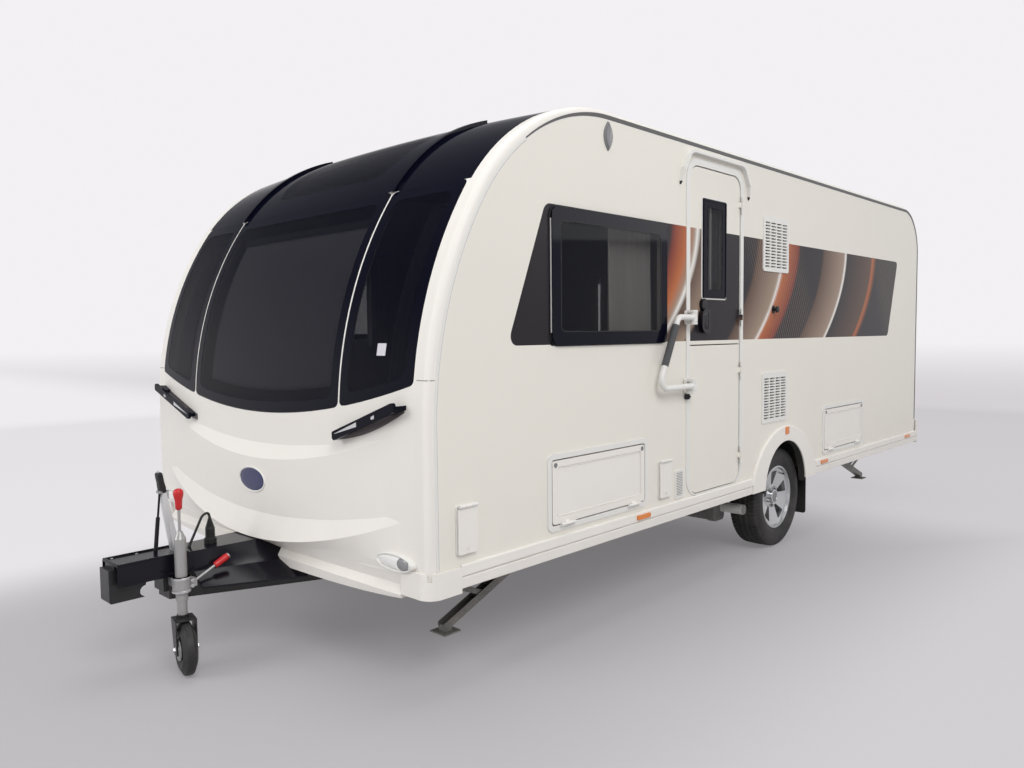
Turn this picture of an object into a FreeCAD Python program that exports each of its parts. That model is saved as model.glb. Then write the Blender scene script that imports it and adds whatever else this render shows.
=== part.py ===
import FreeCAD, Part
import math
import os

# Single-axle travel caravan, in millimetres. X runs across (the door side is +X), the
# drawbar points to -Y and Z is up from the ground. The origin is under the middle of the
# overall length, so every place along the caravan follows from the rear or from the axle.

os.makedirs("parts", exist_ok=True)
V = FreeCAD.Vector

# Overall sizes: the body's front and rear are measured from the axle, and the drawbar's
# tip from the body's front
front_overhang = 3018.0
rear_overhang = 2582.0
drawbar_reach = 685.0
body_width = 2310.0
roof_edge_height = 2387.0
roof_crown = 43.0
front_bulge = 36.0
rear_bulge = 12.0

# Clearances shared by all pieces
seat_gap = 0.3
moving_gap = 6.0
overrun = 25.0

# Skin of the body in side view: a straight nose, a long and a short arc, a flat roof
# and a rounded rear corner
skin_thickness = 36.0
wall_thickness = 32.0
glass_thickness = 12.0
corner_width = 70.0
rail_depth = 50.0
knee_height = 1023.0
knee_turn_drop = 441.4
knee_angle = math.radians(33.4)
rear_corner_radius = 370.0
roof_low = 1500.0

# Awning rail groove in the corner moulding
rail_slot = 3.5
rail_lip = 2.5
rail_pocket = 8.0
rail_land = 6.0

# Floor, skirt and bumper
floor_top = 515.0
floor_thickness = 45.0
skirt_top = 508.0
skirt_bottom = 415.0
skirt_depth = 14.0
skirt_groove_height = 460.0
skirt_groove = 5.0
rear_bumper_depth = 18.0
rear_bumper_top = 600.0
rear_bumper_bottom = 405.0
rear_bumper_corner = 24.0

# Front windows, seen from the front
pillar_x = 635.0
pillar_width = 26.0
sill_height = 1040.0
sill_rise = 157.0
header_drop = 397.0
window_margin = 12.0
window_corner = 26.0
cap_reach = 593.2
cap_rib_height = 14.0
cap_rib_width = 34.0
sunroof_width = 940.0
sunroof_rise = 95.0
sunroof_drop = 57.0
sunroof_corner = 110.0

# Moulded front panel: heights of its lines at the middle, and how far each rises or dips
# towards the corners
panel_wall = 30.0
panel_station_shares = (0.0, 0.25, 0.5, 0.75, 1.0)
ledge_depth = 32.0
ledge_fade_share = 0.84
ledge_top = 910.0
ledge_top_rise = 143.0
ledge_low = 835.0
ledge_low_rise = 205.0
crease_height = 588.0
crease_rise = 135.0
nose_depth = 42.0
nose_height = 482.0
nose_rise = 225.0
tuck_height = 455.0
tuck_rise = 220.0
channel_height = 430.0
channel_depth = 18.0
lip_height = 405.0
lip_depth = 10.0
panel_bottom = 362.0
panel_bottom_rise = 30.0
panel_blend = 10.0
corner_piece_inset = 155.0
corner_piece_bottom = 400.0
corner_piece_top = 500.0
corner_piece_back = 150.0
corner_piece_radius = 62.0
corner_piece_wall = 26.0
corner_piece_proud = 12.0

# Wheel, tyre and arch
tyre_diameter = 634.0
tyre_width = 195.0
rim_diameter = 400.0
rim_width = 165.0
rim_flange = 10.0
wheel_inset = 45.0
spoke_count = 5
hub_bore = 34.0
arch_radius = 300.0
arch_centre_height = 400.0
arch_shift = 25.0
arch_trim_height = 785.0
arch_trim_width = 900.0
arch_trim_foot = 480.0
arch_trim_depth = 16.0
arch_return = 10.0
wheel_box_gap = 48.0
wheel_box_room = 65.0
wheel_box_wall = 8.0

# Entrance door in two halves, hinged on its rear edge
door_to_axle = 636.0
door_width = 534.0
door_bottom = 520.0
door_drop = 142.0
door_split = 1311.0
door_corner = 70.0
door_thickness = 30.0
door_frame_width = 34.0
door_frame_proud = 5.0
door_window_ahead = 162.0
door_window_width = 254.0
door_window_bottom = 1562.0
door_window_drop = 155.0
door_window_border = 22.0
door_axis_out = 14.0
door_axis_back = 4.0
door_hinge_inset = 150.0
latch_ahead = 127.0
latch_height = 1440.0
latch_length = 130.0
latch_width = 84.0
latch_depth = 26.0
lock_radius = 33.0
lock_above = 85.0
lock_depth = 14.0

# Hinges of doors and lids: a pin through three knuckles, each with a leaf to its piece
hinge_length = 96.0
hinge_pin = 3.5
hinge_play = 0.3
hinge_knuckle = 7.0
hinge_leaf = 5.0
hinge_gap = 1.0
hinge_bite = 3.0
hinge_out = 9.0
hinge_drop = 4.0

# Swinging hand rail beside the door
rail_axis_ahead = 38.0
rail_axis_out = 46.0
rail_upper = 1457.0
rail_lower = 1102.0
rail_tube = 15.0
rail_upper_reach = 150.0
rail_lower_reach = 330.0
rail_bend = 45.0
rail_boss = 19.0
rail_boss_height = 44.0
rail_foot_width = 56.0
rail_foot_height = 74.0
rail_foot_depth = 10.0
rail_pin = 9.0

# Windows in the side walls
window_pane = 12.0
window_overlap = 28.0
window_radius = 45.0
side_window_setback = 727.0
side_window_to_door = 235.0
side_window_bottom = 1330.0
side_window_height = 590.0
kitchen_window_to_axle = 160.0
kitchen_window_length = 760.0
kitchen_window_bottom = 1400.0
kitchen_window_height = 480.0
bed_window_behind = 1010.0
bed_window_length = 820.0
bed_window_bottom = 1330.0
bed_window_height = 560.0

# Lockers, flaps and vents in the door side
locker_length = 715.0
locker_height = 300.0
locker_bottom = 548.0
locker_radius = 16.0
locker_lid = 24.0
locker_frame = 18.0
locker_proud = 6.0
front_locker_setback = 715.0
front_locker_to_door = 418.0
rear_locker_behind = 578.0
locker_recess = 40.0
locker_recess_depth = 4.0
flap_width = 92.0
flap_height = 168.0
flap_bottom = 552.0
flap_lid = 12.0
flap_proud = 7.0
flap_frame = 9.0
front_flap_setback = 174.0
rear_flap_to_door = 205.0
flap_gap = 3.0
vent_width = 345.0
vent_ahead = 5.0
vent_columns = 4
vent_rows = 15
vent_border = 26.0
vent_bar = 12.0
vent_depth = 16.0
vent_proud = 6.0
upper_vent_drop = 317.0
upper_vent_height = 330.0
lower_vent_bottom = 822.0
lower_vent_height = 308.0
drip_rail_proud = 26.0
drip_rail_height = 13.0
drip_rail_overhang = 90.0
drip_rail_rise = 22.0
drip_rail_drop = 100.0
drip_rail_bend = 60.0

# Marker lamps
marker_length = 110.0
marker_height = 22.0
marker_depth = 8.0
marker_level = 474.0
marker_front_ahead = 1621.0
marker_rear_behind = 566.0
marker_tail_inset = 282.0

# Grab handles on the front
grab_inner_inset = 515.0
grab_outer_inset = 115.0
grab_inner_height = 985.0
grab_outer_height = 1112.0
grab_bar = 26.0
grab_stand = 62.0
grab_foot_wide = 70.0

# Rear lamps
rear_lamp_inset = 200.0
rear_lamp_wide = 120.0
rear_lamp_tall = 470.0
rear_lamp_bottom = 640.0
rear_lamp_depth = 22.0
rear_lamp_radius = 30.0
rear_lamp_pods = 3
high_lamp_wide = 300.0
high_lamp_tall = 34.0
high_lamp_height = 2010.0

# Rooflights
big_light_length = 560.0
big_light_width = 760.0
big_light_to_axle = 1150.0
small_light_length = 400.0
small_light_width = 400.0
small_light_behind = 1050.0
light_frame_width = 45.0
light_frame_height = 30.0
light_lid_height = 34.0
light_lid_wall = 10.0
light_corner = 50.0
light_axis_rise = 8.0
hinge_spread_share = 0.7

# Chassis
rail_inset = 595.0
chassis_rail_height = 150.0
chassis_rail_width = 42.0
chassis_sheet = 5.0
chassis_front_setback = 560.0
chassis_rear_setback = 240.0
chassis_hole = 76.0
chassis_holes = 7
outrigger_width = 60.0
outrigger_height = 55.0
axle_tube = 100.0
axle_tube_ahead = 165.0
axle_tube_rise = 50.0
arm_width = 60.0
arm_thickness = 46.0
drum_diameter = 230.0
drum_width = 56.0
stub_radius = 60.0

# Drawbar, its cover and the coupling
drawbar_height = 60.0
drawbar_width = 46.0
drawbar_top = 348.0
drawbar_gap = 6.0
cover_half = 78.0
cover_top = 478.0
cover_wall = 4.0
cover_step = 390.0
cover_skirt = 330.0
cover_front_setback = 22.0
cover_wing_start = 332.0
cover_wing_front = 154.0
cover_wing_rear = 315.0
cover_rear_top = 100.0
cover_rear_step = 178.0
cover_rear_setback = 20.0
ball_radius = 25.0
ball_gap = 0.25
ball_setback = 72.0
ball_height = 372.0
head_width = 92.0
head_wall = 20.0
head_length = 235.0
head_bottom = 322.0
notch_radius = 24.0
lever_width = 34.0
lever_foot_behind = 290.0
lever_foot_height = 478.0
lever_lean = 80.0
lever_length = 262.0
lever_thick = 16.0
grip_length = 82.0
grip_wide = 38.0
strut_radius = 9.0
strut_ahead = 84.0
strut_body_share = 0.6
plug_behind = 446.0
plug_radius = 21.0
plug_height = 66.0
plug_neck = 44.0
lead_radius = 5.5
lead_reach = 97.0
lead_bend = 16.0

# Jockey wheel
jockey_x = 135.0
jockey_behind = 252.0
jockey_outer = 24.0
jockey_inner = 20.0
jockey_fit = 0.3
jockey_lift = 50.0
jockey_top = 556.0
jockey_bottom = 300.0
clamp_bottom = 334.0
clamp_height = 64.0
clamp_radius = 36.0
clamp_lug = 58.0
clamp_lever = 96.0
clamp_grip = 60.0
crank_rise = 32.0
crank_radius = 6.0
crank_length = 130.0
crank_knob = 13.0
crank_knob_length = 58.0
jockey_wheel_diameter = 220.0
jockey_wheel_width = 62.0
jockey_hub = 26.0
jockey_axle = 9.0
jockey_trail = 40.0
jockey_turn = -102.0
fork_sheet = 5.0
fork_wide = 62.0
fork_collar = 23.0
fork_collar_height = 10.0
jockey_bore = 0.4

# Corner steadies
steady_inset = 205.0
steady_pivot_height = 372.0
steady_front_setback = 717.0
steady_rear_behind = 1390.0
steady_length = 480.0
steady_angle = math.radians(22.0)
steady_tip = 34.0
steady_sheet = 4.0
steady_depth = 44.0
steady_foot = 90.0
steady_foot_plate = 6.0
steady_pin = 8.0
steady_eye = 17.0
steady_strut_wide = 22.0
steady_strut_sheet = 5.0
steady_screw = 8.0
steady_screw_length = 560.0
steady_beam_height = 26.0
steady_beam_width = 96.0
steady_cheek = 6.0

# Caravan mover and mudflaps
mover_ahead = 385.0
mover_roller_radius = 30.0
mover_roller_length = 150.0
mover_motor_radius = 52.0
mover_motor_length = 230.0
mover_height = 262.0
mover_arm = 26.0
mudflap_behind = 372.0
mudflap_bottom = 150.0
mudflap_wide = 190.0
mudflap_thick = 8.0

# Places worked out from the sizes above
body_length = front_overhang + rear_overhang
overall_length = body_length + drawbar_reach
rear_y = overall_length / 2
nose_y = -overall_length / 2
front_y = rear_y - body_length
axle_y = rear_y - rear_overhang
side_x = body_width / 2
corner_x = side_x - corner_width
wall_inner_x = side_x - wall_thickness
floor_bottom = floor_top - floor_thickness
arch_y = axle_y - arch_shift
wheel_centre_z = tyre_diameter / 2
panel_rear_y = rear_y - rear_bumper_depth
door_rear_y = axle_y - door_to_axle
door_front_y = door_rear_y - door_width
door_top = roof_edge_height - door_drop
door_window_height = door_top - door_window_drop - door_window_bottom
knee_radius = (roof_edge_height - knee_turn_drop - knee_height) / math.sin(knee_angle)
cap_length = knee_radius * (1 - math.cos(knee_angle)) + cap_reach
cap_end_y = front_y + cap_length
header_height = roof_edge_height - header_drop
sunroof_bottom = header_height + sunroof_rise
sunroof_top = roof_edge_height - sunroof_drop
upper_vent_bottom = roof_edge_height - upper_vent_drop - upper_vent_height
corner_piece_x = side_x - corner_piece_inset
wheel_outer_x = side_x - wheel_inset
wheel_box_inner = wheel_outer_x - tyre_width - wheel_box_room
grab_inner_x = side_x - grab_inner_inset
grab_outer_x = side_x - grab_outer_inset
rear_lamp_x = side_x - rear_lamp_inset
steady_x = side_x - steady_inset
rail_x = side_x - rail_inset


def in_yz(x):
    """Places a (y, z) pair on the plane at x."""
    return lambda u, v: V(x, u, v)


def in_xz(y):
    """Places an (x, z) pair on the plane at y."""
    return lambda u, v: V(u, y, v)


def in_xy(z):
    """Places an (x, y) pair on the plane at z."""
    return lambda u, v: V(u, v, z)


def rounded_wire(corners, place):
    """Closed outline through corners (u, v, radius), each corner a tangent arc."""
    count = len(corners)
    starts, mids, ends = [], [], []
    for i, (u, v, radius) in enumerate(corners):
        here = V(u, v, 0)
        before = V(corners[i - 1][0], corners[i - 1][1], 0) - here
        after = V(corners[(i + 1) % count][0], corners[(i + 1) % count][1], 0) - here
        before.normalize()
        after.normalize()
        half = before.getAngle(after) / 2
        reach = radius / math.tan(half)
        middle = before + after
        middle.normalize()
        starts.append(here + before * reach)
        ends.append(here + after * reach)
        mids.append(here + middle * (radius / math.sin(half) - radius))
    edges = []
    for i in range(count):
        if corners[i][2] > 0:
            arc = [place(p.x, p.y) for p in (starts[i], mids[i], ends[i])]
            edges.append(Part.Arc(*arc).toShape())
        a, b = ends[i], starts[(i + 1) % count]
        if a.distanceToPoint(b) > seat_gap / overrun:
            edges.append(Part.LineSegment(place(a.x, a.y), place(b.x, b.y)).toShape())
    return Part.Wire(edges)


def plate(corners, place, direction):
    """Solid plate: a rounded outline pushed along a direction."""
    return Part.Face(rounded_wire(corners, place)).extrude(direction)


def frame_corners(u0, u1, v0, v1, radius):
    """Corners of a rounded rectangle."""
    return [(u0, v0, radius), (u1, v0, radius), (u1, v1, radius), (u0, v1, radius)]


def block(x0, x1, y0, y1, z0, z1):
    """Box between two corners, given in any order."""
    low = V(min(x0, x1), min(y0, y1), min(z0, z1))
    return Part.makeBox(abs(x1 - x0), abs(y1 - y0), abs(z1 - z0), low)


def rod(start, end, radius):
    """Round bar from one point to another."""
    return Part.makeCylinder(radius, start.distanceToPoint(end), start, end - start)


def bent_tube(points, radius, bend):
    """Round tube along straight runs joined by tangent arcs of one bend radius."""
    edges = []
    last = points[0]
    for i in range(1, len(points) - 1):
        here = points[i]
        before = points[i - 1] - here
        after = points[i + 1] - here
        before.normalize()
        after.normalize()
        half = before.getAngle(after) / 2
        reach = bend / math.tan(half)
        middle = before + after
        middle.normalize()
        start, end = here + before * reach, here + after * reach
        edges.append(Part.LineSegment(last, start).toShape())
        edges.append(Part.Arc(start, here + middle * (bend / math.sin(half) - bend), end).toShape())
        last = end
    edges.append(Part.LineSegment(last, points[-1]).toShape())
    ring = Part.Wire(Part.makeCircle(radius, points[0], points[1] - points[0]))
    return Part.Wire(edges).makePipeShell([ring], True, False)


def mirrored(shape):
    """The same piece on the other side of the caravan."""
    return shape.mirror(V(0, 0, 0), V(1, 0, 0))


def joined(shapes):
    """One solid from pieces that meet."""
    whole = shapes[0].fuse(shapes[1:]) if len(shapes) > 1 else shapes[0]
    return whole.removeSplitter()


def save(name, shape):
    """Writes one node: a single solid, or several that don't touch."""
    solids = shape.Solids
    kept = solids[0] if len(solids) == 1 else Part.makeCompound(solids)
    kept.exportStep(os.path.join("parts", name + ".step"))


def knuckle(axis, way, start, end, reach):
    """One knuckle of a hinge and the leaf that carries it; reach runs from the axis to the piece."""
    side = way.cross(reach)
    side.normalize()
    side = side * (hinge_leaf / 2)
    foot = axis + way * start
    barrel = Part.makeCylinder(hinge_knuckle, end - start, foot, way)
    corners = [foot - side, foot + side, foot + side + reach, foot - side + reach]
    leaf = Part.Face(Part.makePolygon(corners + corners[:1])).extrude(way * (end - start))
    return barrel.fuse(leaf)


def hinge(axis, way, fixed_reach, moving_reach):
    """Hinge about an axis: the fixed knuckles with their pin, and the moving knuckle."""
    half, sixth = hinge_length / 2, hinge_length / 6
    pin = Part.makeCylinder(hinge_pin, hinge_length, axis - way * half, way)
    fixed = joined(
        [
            knuckle(axis, way, -half, -sixth, fixed_reach),
            knuckle(axis, way, sixth, half, fixed_reach), pin
        ]
    )
    bore = Part.makeCylinder(hinge_pin + hinge_play, hinge_length, axis - way * half, way)
    moving = knuckle(axis, way, hinge_gap - sixth, sixth - hinge_gap, moving_reach).cut(bore)
    return fixed, moving


def skin_wire(x, share, inset, low):
    """Closed side-view outline of the body at x; share is 1 at the crown and 0 at the edges."""
    top = roof_edge_height + roof_crown * share
    nose = front_y + front_bulge * (1 - share)
    tail = panel_rear_y - rear_bulge * (1 - share)
    turn_y = nose + knee_radius * (1 - math.cos(knee_angle))
    turn_z = knee_height + knee_radius * math.sin(knee_angle)
    brow_radius = (top - turn_z) / (1 - math.sin(knee_angle))
    brow_y = turn_y + brow_radius * math.cos(knee_angle)
    brow_z = top - brow_radius
    tail_y = tail - rear_corner_radius
    tail_z = top - rear_corner_radius
    place = in_yz(x)

    def on_arc(centre_y, centre_z, radius, angle):
        r = radius - inset
        return place(centre_y - r * math.cos(angle), centre_z + r * math.sin(angle))

    a = place(nose + inset, low)
    b = place(nose + inset, knee_height)
    c = on_arc(nose + knee_radius, knee_height, knee_radius, knee_angle / 2)
    d = on_arc(nose + knee_radius, knee_height, knee_radius, knee_angle)
    e = on_arc(brow_y, brow_z, brow_radius, (knee_angle + math.pi / 2) / 2)
    f = on_arc(brow_y, brow_z, brow_radius, math.pi / 2)
    g = on_arc(tail_y, tail_z, rear_corner_radius, math.pi / 2)
    h = on_arc(tail_y, tail_z, rear_corner_radius, math.pi * 3 / 4)
    i = place(tail - inset, tail_z)
    j = place(tail - inset, low)
    edges = [
        Part.LineSegment(a, b).toShape(),
        Part.Arc(b, c, d).toShape(),
        Part.Arc(d, e, f).toShape(),
        Part.LineSegment(f, g).toShape(),
        Part.Arc(g, h, i).toShape(),
        Part.LineSegment(i, j).toShape(),
        Part.LineSegment(j, a).toShape(),
    ]
    return Part.Wire(edges)


def skin_solid(inset, low):
    """Body crowned across its width: a loft through the edge, middle and edge outlines."""
    wires = [
        skin_wire(-corner_x, 0, inset, low), skin_wire(0, 1, inset, low),
        skin_wire(corner_x, 0, inset, low)
    ]
    return Part.makeLoft(wires, True, False)


def skin_shell(thickness):
    """The crowned skin as a shell of one thickness, open below."""
    return skin_solid(0, floor_bottom).cut(skin_solid(thickness, floor_bottom - overrun))


def sill_point(x, lift):
    """Height of the front windows' lower edge, which rises to the sides as an arc."""
    span = corner_x - window_margin
    radius = (span ** 2 + sill_rise ** 2) / (2 * sill_rise)
    return sill_height + lift + radius - math.sqrt(radius ** 2 - x ** 2)


def above_sill():
    """Everything in front view above the sill arc, up to the roof and across to the corners."""
    place = in_xz(front_y - overrun * 4)
    low = [place(x, sill_point(x, 0)) for x in (-corner_x, 0, corner_x)]
    high = [place(corner_x, roof_edge_height * 2), place(-corner_x, roof_edge_height * 2)]
    edges = [Part.Arc(*low).toShape()]
    edges += [Part.LineSegment(a, b).toShape() for a, b in zip([low[2]] + high, high + [low[0]])]
    return Part.Face(Part.Wire(edges)).extrude(V(0, body_length, 0))


def window_face(x0, x1, inset):
    """Outline of one front window in front view, at the rear limit of the nose."""
    place = in_xz(front_y - overrun)
    left, right = x0 + inset, x1 - inset
    top = header_height - inset
    middle = (left + right) / 2
    low_left = place(left, sill_point(left, inset))
    low_right = place(right, sill_point(right, inset))
    edges = [
        Part.Arc(low_left, place(middle, sill_point(middle, inset)), low_right).toShape(),
        Part.LineSegment(low_right, place(right, top)).toShape(),
        Part.LineSegment(place(right, top), place(left, top)).toShape(),
        Part.LineSegment(place(left, top), low_left).toShape(),
    ]
    return Part.Face(Part.Wire(edges))


def window_prism(x0, x1, inset, corner):
    """A front window's outline as a solid that reaches back through the skin."""
    solid = window_face(x0, x1, inset).extrude(V(0, cap_length + overrun, 0))
    upright = [e for e in solid.Edges if abs(e.tangentAt(e.FirstParameter).y) > 1 - seat_gap]
    return solid.makeFillet(corner, upright)


def front_window_spans():
    """Left, centre and right window as spans across the front."""
    inner = pillar_x - pillar_width / 2
    outer = pillar_x + pillar_width / 2
    edge = corner_x - window_margin
    return [(-edge, -outer), (-inner, inner), (outer, edge)]


def sunroof_corners(inset):
    """Front rooflight's outline in front view."""
    half = sunroof_width / 2 - inset
    low, high = sunroof_bottom + inset, sunroof_top - inset
    small = sunroof_corner / 4
    return [
        (-half, low, sunroof_corner), (half, low, sunroof_corner), (half, high, small),
        (-half, high, small)
    ]


def make_front():
    """Surround with its pillars, the window panes, and the dark cap with its raised ribs."""
    shell = skin_shell(skin_thickness)
    pane = skin_shell(glass_thickness)
    top = roof_edge_height + roof_crown + overrun
    front = shell.common(block(-side_x, side_x, front_y - overrun, cap_end_y, floor_bottom, top))
    below = block(-side_x, side_x, front_y - overrun, cap_end_y, floor_bottom, header_height)
    surround = front.common(above_sill()).common(below)
    panes = []
    for x0, x1 in front_window_spans():
        surround = surround.cut(window_prism(x0, x1, 0, window_corner))
        panes.append(pane.common(window_prism(x0, x1, seat_gap, window_corner)))
    save("front_surround", surround)
    above = block(-side_x, side_x, front_y - overrun, cap_end_y, header_height, top)
    cap = front.common(above)
    lift = skin_solid(-cap_rib_height, floor_bottom).cut(
        skin_solid(glass_thickness, floor_bottom - overrun)
    )
    for side in (-1, 1):
        x = side * pillar_x
        strip = block(
            x - cap_rib_width / 2, x + cap_rib_width / 2, front_y - overrun, cap_end_y,
            header_height, top
        )
        cap = cap.fuse(lift.common(strip))
    reach = V(0, cap_length + overrun, 0)
    cap = cap.cut(plate(sunroof_corners(0), in_xz(front_y - overrun), reach))
    save("front_cap", cap.removeSplitter())
    panes.append(
        pane.common(plate(sunroof_corners(seat_gap), in_xz(front_y - overrun), reach)).common(above)
    )
    save("front_windows", Part.makeCompound(panes))


def light_place(length, to_axle_y):
    """Front and rear edge of a rooflight."""
    return to_axle_y - length / 2, to_axle_y + length / 2


def rooflights():
    """The two opening rooflights: name, front edge, rear edge and half width."""
    big = light_place(big_light_length, axle_y - big_light_to_axle)
    small = light_place(small_light_length, axle_y + small_light_behind)
    return [
        ("front", big[0], big[1], big_light_width / 2),
        ("rear", small[0], small[1], small_light_width / 2)
    ]


def make_roof_and_rear():
    """Crowned roof with two openings, and the rear panel with its rounded top."""
    shell = skin_shell(skin_thickness)
    tail_y = panel_rear_y - rear_corner_radius
    roof = shell.common(block(-side_x, side_x, cap_end_y, tail_y, roof_low, roof_edge_height * 2))
    for name, y0, y1, half in rooflights():
        hole = plate(frame_corners(-half, half, y0, y1, light_corner), in_xy(roof_low), V(0, 0, roof_low))
        roof = roof.cut(hole)
    save("roof_panel", roof)
    rear = shell.common(block(-side_x, side_x, tail_y, rear_y, floor_bottom, roof_edge_height * 2))
    save("rear_panel", rear)


def roof_top(x):
    """Height of the roof's outer surface at x, close to a parabola across the width."""
    return roof_edge_height + roof_crown * (1 - (x / corner_x) ** 2)


def make_rooflight(name, y0, y1, half):
    """Frame seated on the roof, and a shallow hollow lid hinged along its front edge."""
    wide = half + light_frame_width
    base = roof_top(wide) - roof_crown
    rise = roof_edge_height + roof_crown + light_frame_height
    rim = light_frame_width
    outline = frame_corners(-wide, wide, y0 - rim, y1 + rim, light_corner + rim)
    ring = plate(outline, in_xy(base), V(0, 0, rise - base))
    ring = ring.cut(
        plate(frame_corners(-half, half, y0, y1, light_corner), in_xy(base - overrun), V(0, 0, rise))
    )
    ring = ring.cut(skin_solid(-seat_gap, floor_bottom))
    low = rise + hinge_gap * 2
    edge = rim / 2
    outline = frame_corners(-half - edge, half + edge, y0 - edge, y1 + edge, light_corner + edge)
    lid = plate(outline, in_xy(low), V(0, 0, light_lid_height))
    top = [e for e in lid.Edges if e.BoundBox.ZMin > low + light_lid_height - seat_gap]
    lid = lid.makeFillet(light_lid_wall, top)
    inner = edge - light_lid_wall
    outline = frame_corners(-half - inner, half + inner, y0 - inner, y1 + inner, light_corner)
    lid = lid.cut(
        plate(outline, in_xy(low - overrun), V(0, 0, overrun + light_lid_height - light_lid_wall))
    )
    axis = V(0, y0 - edge - hinge_out, low + light_axis_rise)
    down = V(0, 0, rise - hinge_bite - axis.z)
    fixed, moving = [ring], [lid]
    for side in (-1, 1):
        spot = axis + V(side * half * hinge_spread_share, 0, 0)
        a, b = hinge(spot, V(1, 0, 0), down, V(0, hinge_out + hinge_bite, 0))
        fixed.append(a)
        moving.append(b)
    save("rooflight_lid_" + name, joined(moving))
    return joined(fixed)


def make_rooflights():
    """Both frames share a node; each lid is its own."""
    frames = [make_rooflight(*item) for item in rooflights()]
    save("rooflight_frames", Part.makeCompound(frames))


def rail_section():
    """Corner moulding's section at the nose: rounded outside, with the awning rail's slot."""
    nose = front_y + front_bulge
    back = nose + rail_depth
    slot = back - rail_land - rail_pocket / 2
    outer, pocket = side_x, side_x - rail_lip
    place = in_xy(floor_bottom)
    turn = rail_depth - rail_land - rail_pocket - rail_slot
    middle = turn * (1 - math.sqrt(0.5))
    points = [
        (outer, nose + turn),
        (outer, slot - rail_slot / 2),
        (pocket, slot - rail_slot / 2),
        (pocket, slot - rail_pocket / 2),
        (pocket - rail_pocket, slot - rail_pocket / 2),
        (pocket - rail_pocket, slot + rail_pocket / 2),
        (pocket, slot + rail_pocket / 2),
        (pocket, slot + rail_slot / 2),
        (outer, slot + rail_slot / 2),
        (outer, back),
        (corner_x, back),
        (corner_x, nose),
        (outer - turn, nose),
    ]
    spots = [place(*p) for p in points]
    edges = [Part.LineSegment(a, b).toShape() for a, b in zip(spots, spots[1:])]
    edges.append(Part.Arc(spots[-1], place(outer - middle, nose + middle), spots[0]).toShape())
    return Part.Wire(edges)


def make_corner_rails():
    """Corner moulding with awning rail, swept up the nose, over the roof and down the rear."""
    path = Part.Wire(skin_wire(side_x, 0, 0, floor_bottom).Edges[:6])
    rail = path.makePipeShell([rail_section()], True, False)
    save("corner_rails", Part.makeCompound([rail, mirrored(rail)]))


def wall_blank():
    """Side wall inside the corner moulding, over the wheel arch."""
    wire = skin_wire(wall_inner_x, 0, rail_depth, floor_bottom)
    wall = Part.Face(wire).extrude(V(wall_thickness, 0, 0))
    arch = rod(
        V(wall_inner_x - overrun, arch_y, arch_centre_height),
        V(side_x + overrun, arch_y, arch_centre_height), arch_radius
    )
    legs = block(
        wall_inner_x - overrun, side_x + overrun, arch_y - arch_radius, arch_y + arch_radius, 0,
        arch_centre_height
    )
    return wall.cut([arch, legs])


def wall_hole(y0, y1, z0, z1, radius):
    """Cutter through the door-side wall."""
    place = in_yz(wall_inner_x - overrun)
    return plate(frame_corners(y0, y1, z0, z1, radius), place, V(wall_thickness + overrun * 2, 0, 0))


def side_panel(y0, y1, z0, z1, radius, inner_x, outer_x):
    """Plate in the door-side wall's plane, between two depths."""
    return plate(frame_corners(y0, y1, z0, z1, radius), in_yz(inner_x), V(outer_x - inner_x, 0, 0))


def door_windows_span():
    """The door window's front, rear, lower and upper edge."""
    y1 = door_rear_y - door_window_ahead
    return y1 - door_window_width, y1, door_window_bottom, door_window_bottom + door_window_height


def lockers():
    """The two big locker doors: name, front and rear edge."""
    rear = axle_y + rear_locker_behind
    return [
        ("front", front_y + front_locker_setback, door_front_y - front_locker_to_door),
        ("rear", rear, rear + locker_length),
    ]


def flaps():
    """The two small service flaps: name and front edge."""
    return [
        ("front", front_y + front_flap_setback),
        ("rear", door_front_y - rear_flap_to_door - flap_width),
    ]


def vents():
    """The two fridge vents: lower edge and height."""
    return [(lower_vent_bottom, lower_vent_height), (upper_vent_bottom, upper_vent_height)]


def window_spans_right():
    """Opening windows in the door side."""
    y0, y1 = front_y + side_window_setback, door_front_y - side_window_to_door
    return [(y0, y1, side_window_bottom, side_window_bottom + side_window_height)]


def window_spans_left():
    """Opening windows in the far side: lounge, kitchen and bedroom."""
    kitchen = axle_y - kitchen_window_to_axle
    bed = axle_y + bed_window_behind
    return window_spans_right() + [
        (
            kitchen - kitchen_window_length, kitchen, kitchen_window_bottom,
            kitchen_window_bottom + kitchen_window_height
        ),
        (bed, bed + bed_window_length, bed_window_bottom, bed_window_bottom + bed_window_height),
    ]


def cut_windows(wall, spans):
    """Openings behind the panes, smaller by the seating overlap."""
    for y0, y1, z0, z1 in spans:
        o = window_overlap
        wall = wall.cut(wall_hole(y0 + o, y1 - o, z0 + o, z1 - o, window_radius))
    return wall


def make_walls():
    """Both side walls with every opening cut through."""
    right = cut_windows(wall_blank(), window_spans_right())
    g = moving_gap + door_frame_proud
    right = right.cut(
        wall_hole(door_front_y - g, door_rear_y + g, door_bottom - g, door_top + g, door_corner + g)
    )
    for name, y0, y1 in lockers():
        right = right.cut(wall_hole(y0, y1, locker_bottom, locker_bottom + locker_height, locker_radius))
    for name, y0 in flaps():
        right = right.cut(
            wall_hole(y0, y0 + flap_width, flap_bottom, flap_bottom + flap_height, locker_radius / 2)
        )
    vent_y1 = axle_y - vent_ahead
    for z0, tall in vents():
        b = vent_border / 2
        right = right.cut(
            wall_hole(vent_y1 - vent_width + b, vent_y1 - b, z0 + b, z0 + tall - b, locker_radius / 2)
        )
    save("wall_right", right)
    left = cut_windows(wall_blank(), window_spans_left())
    save("wall_left", mirrored(left))


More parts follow.
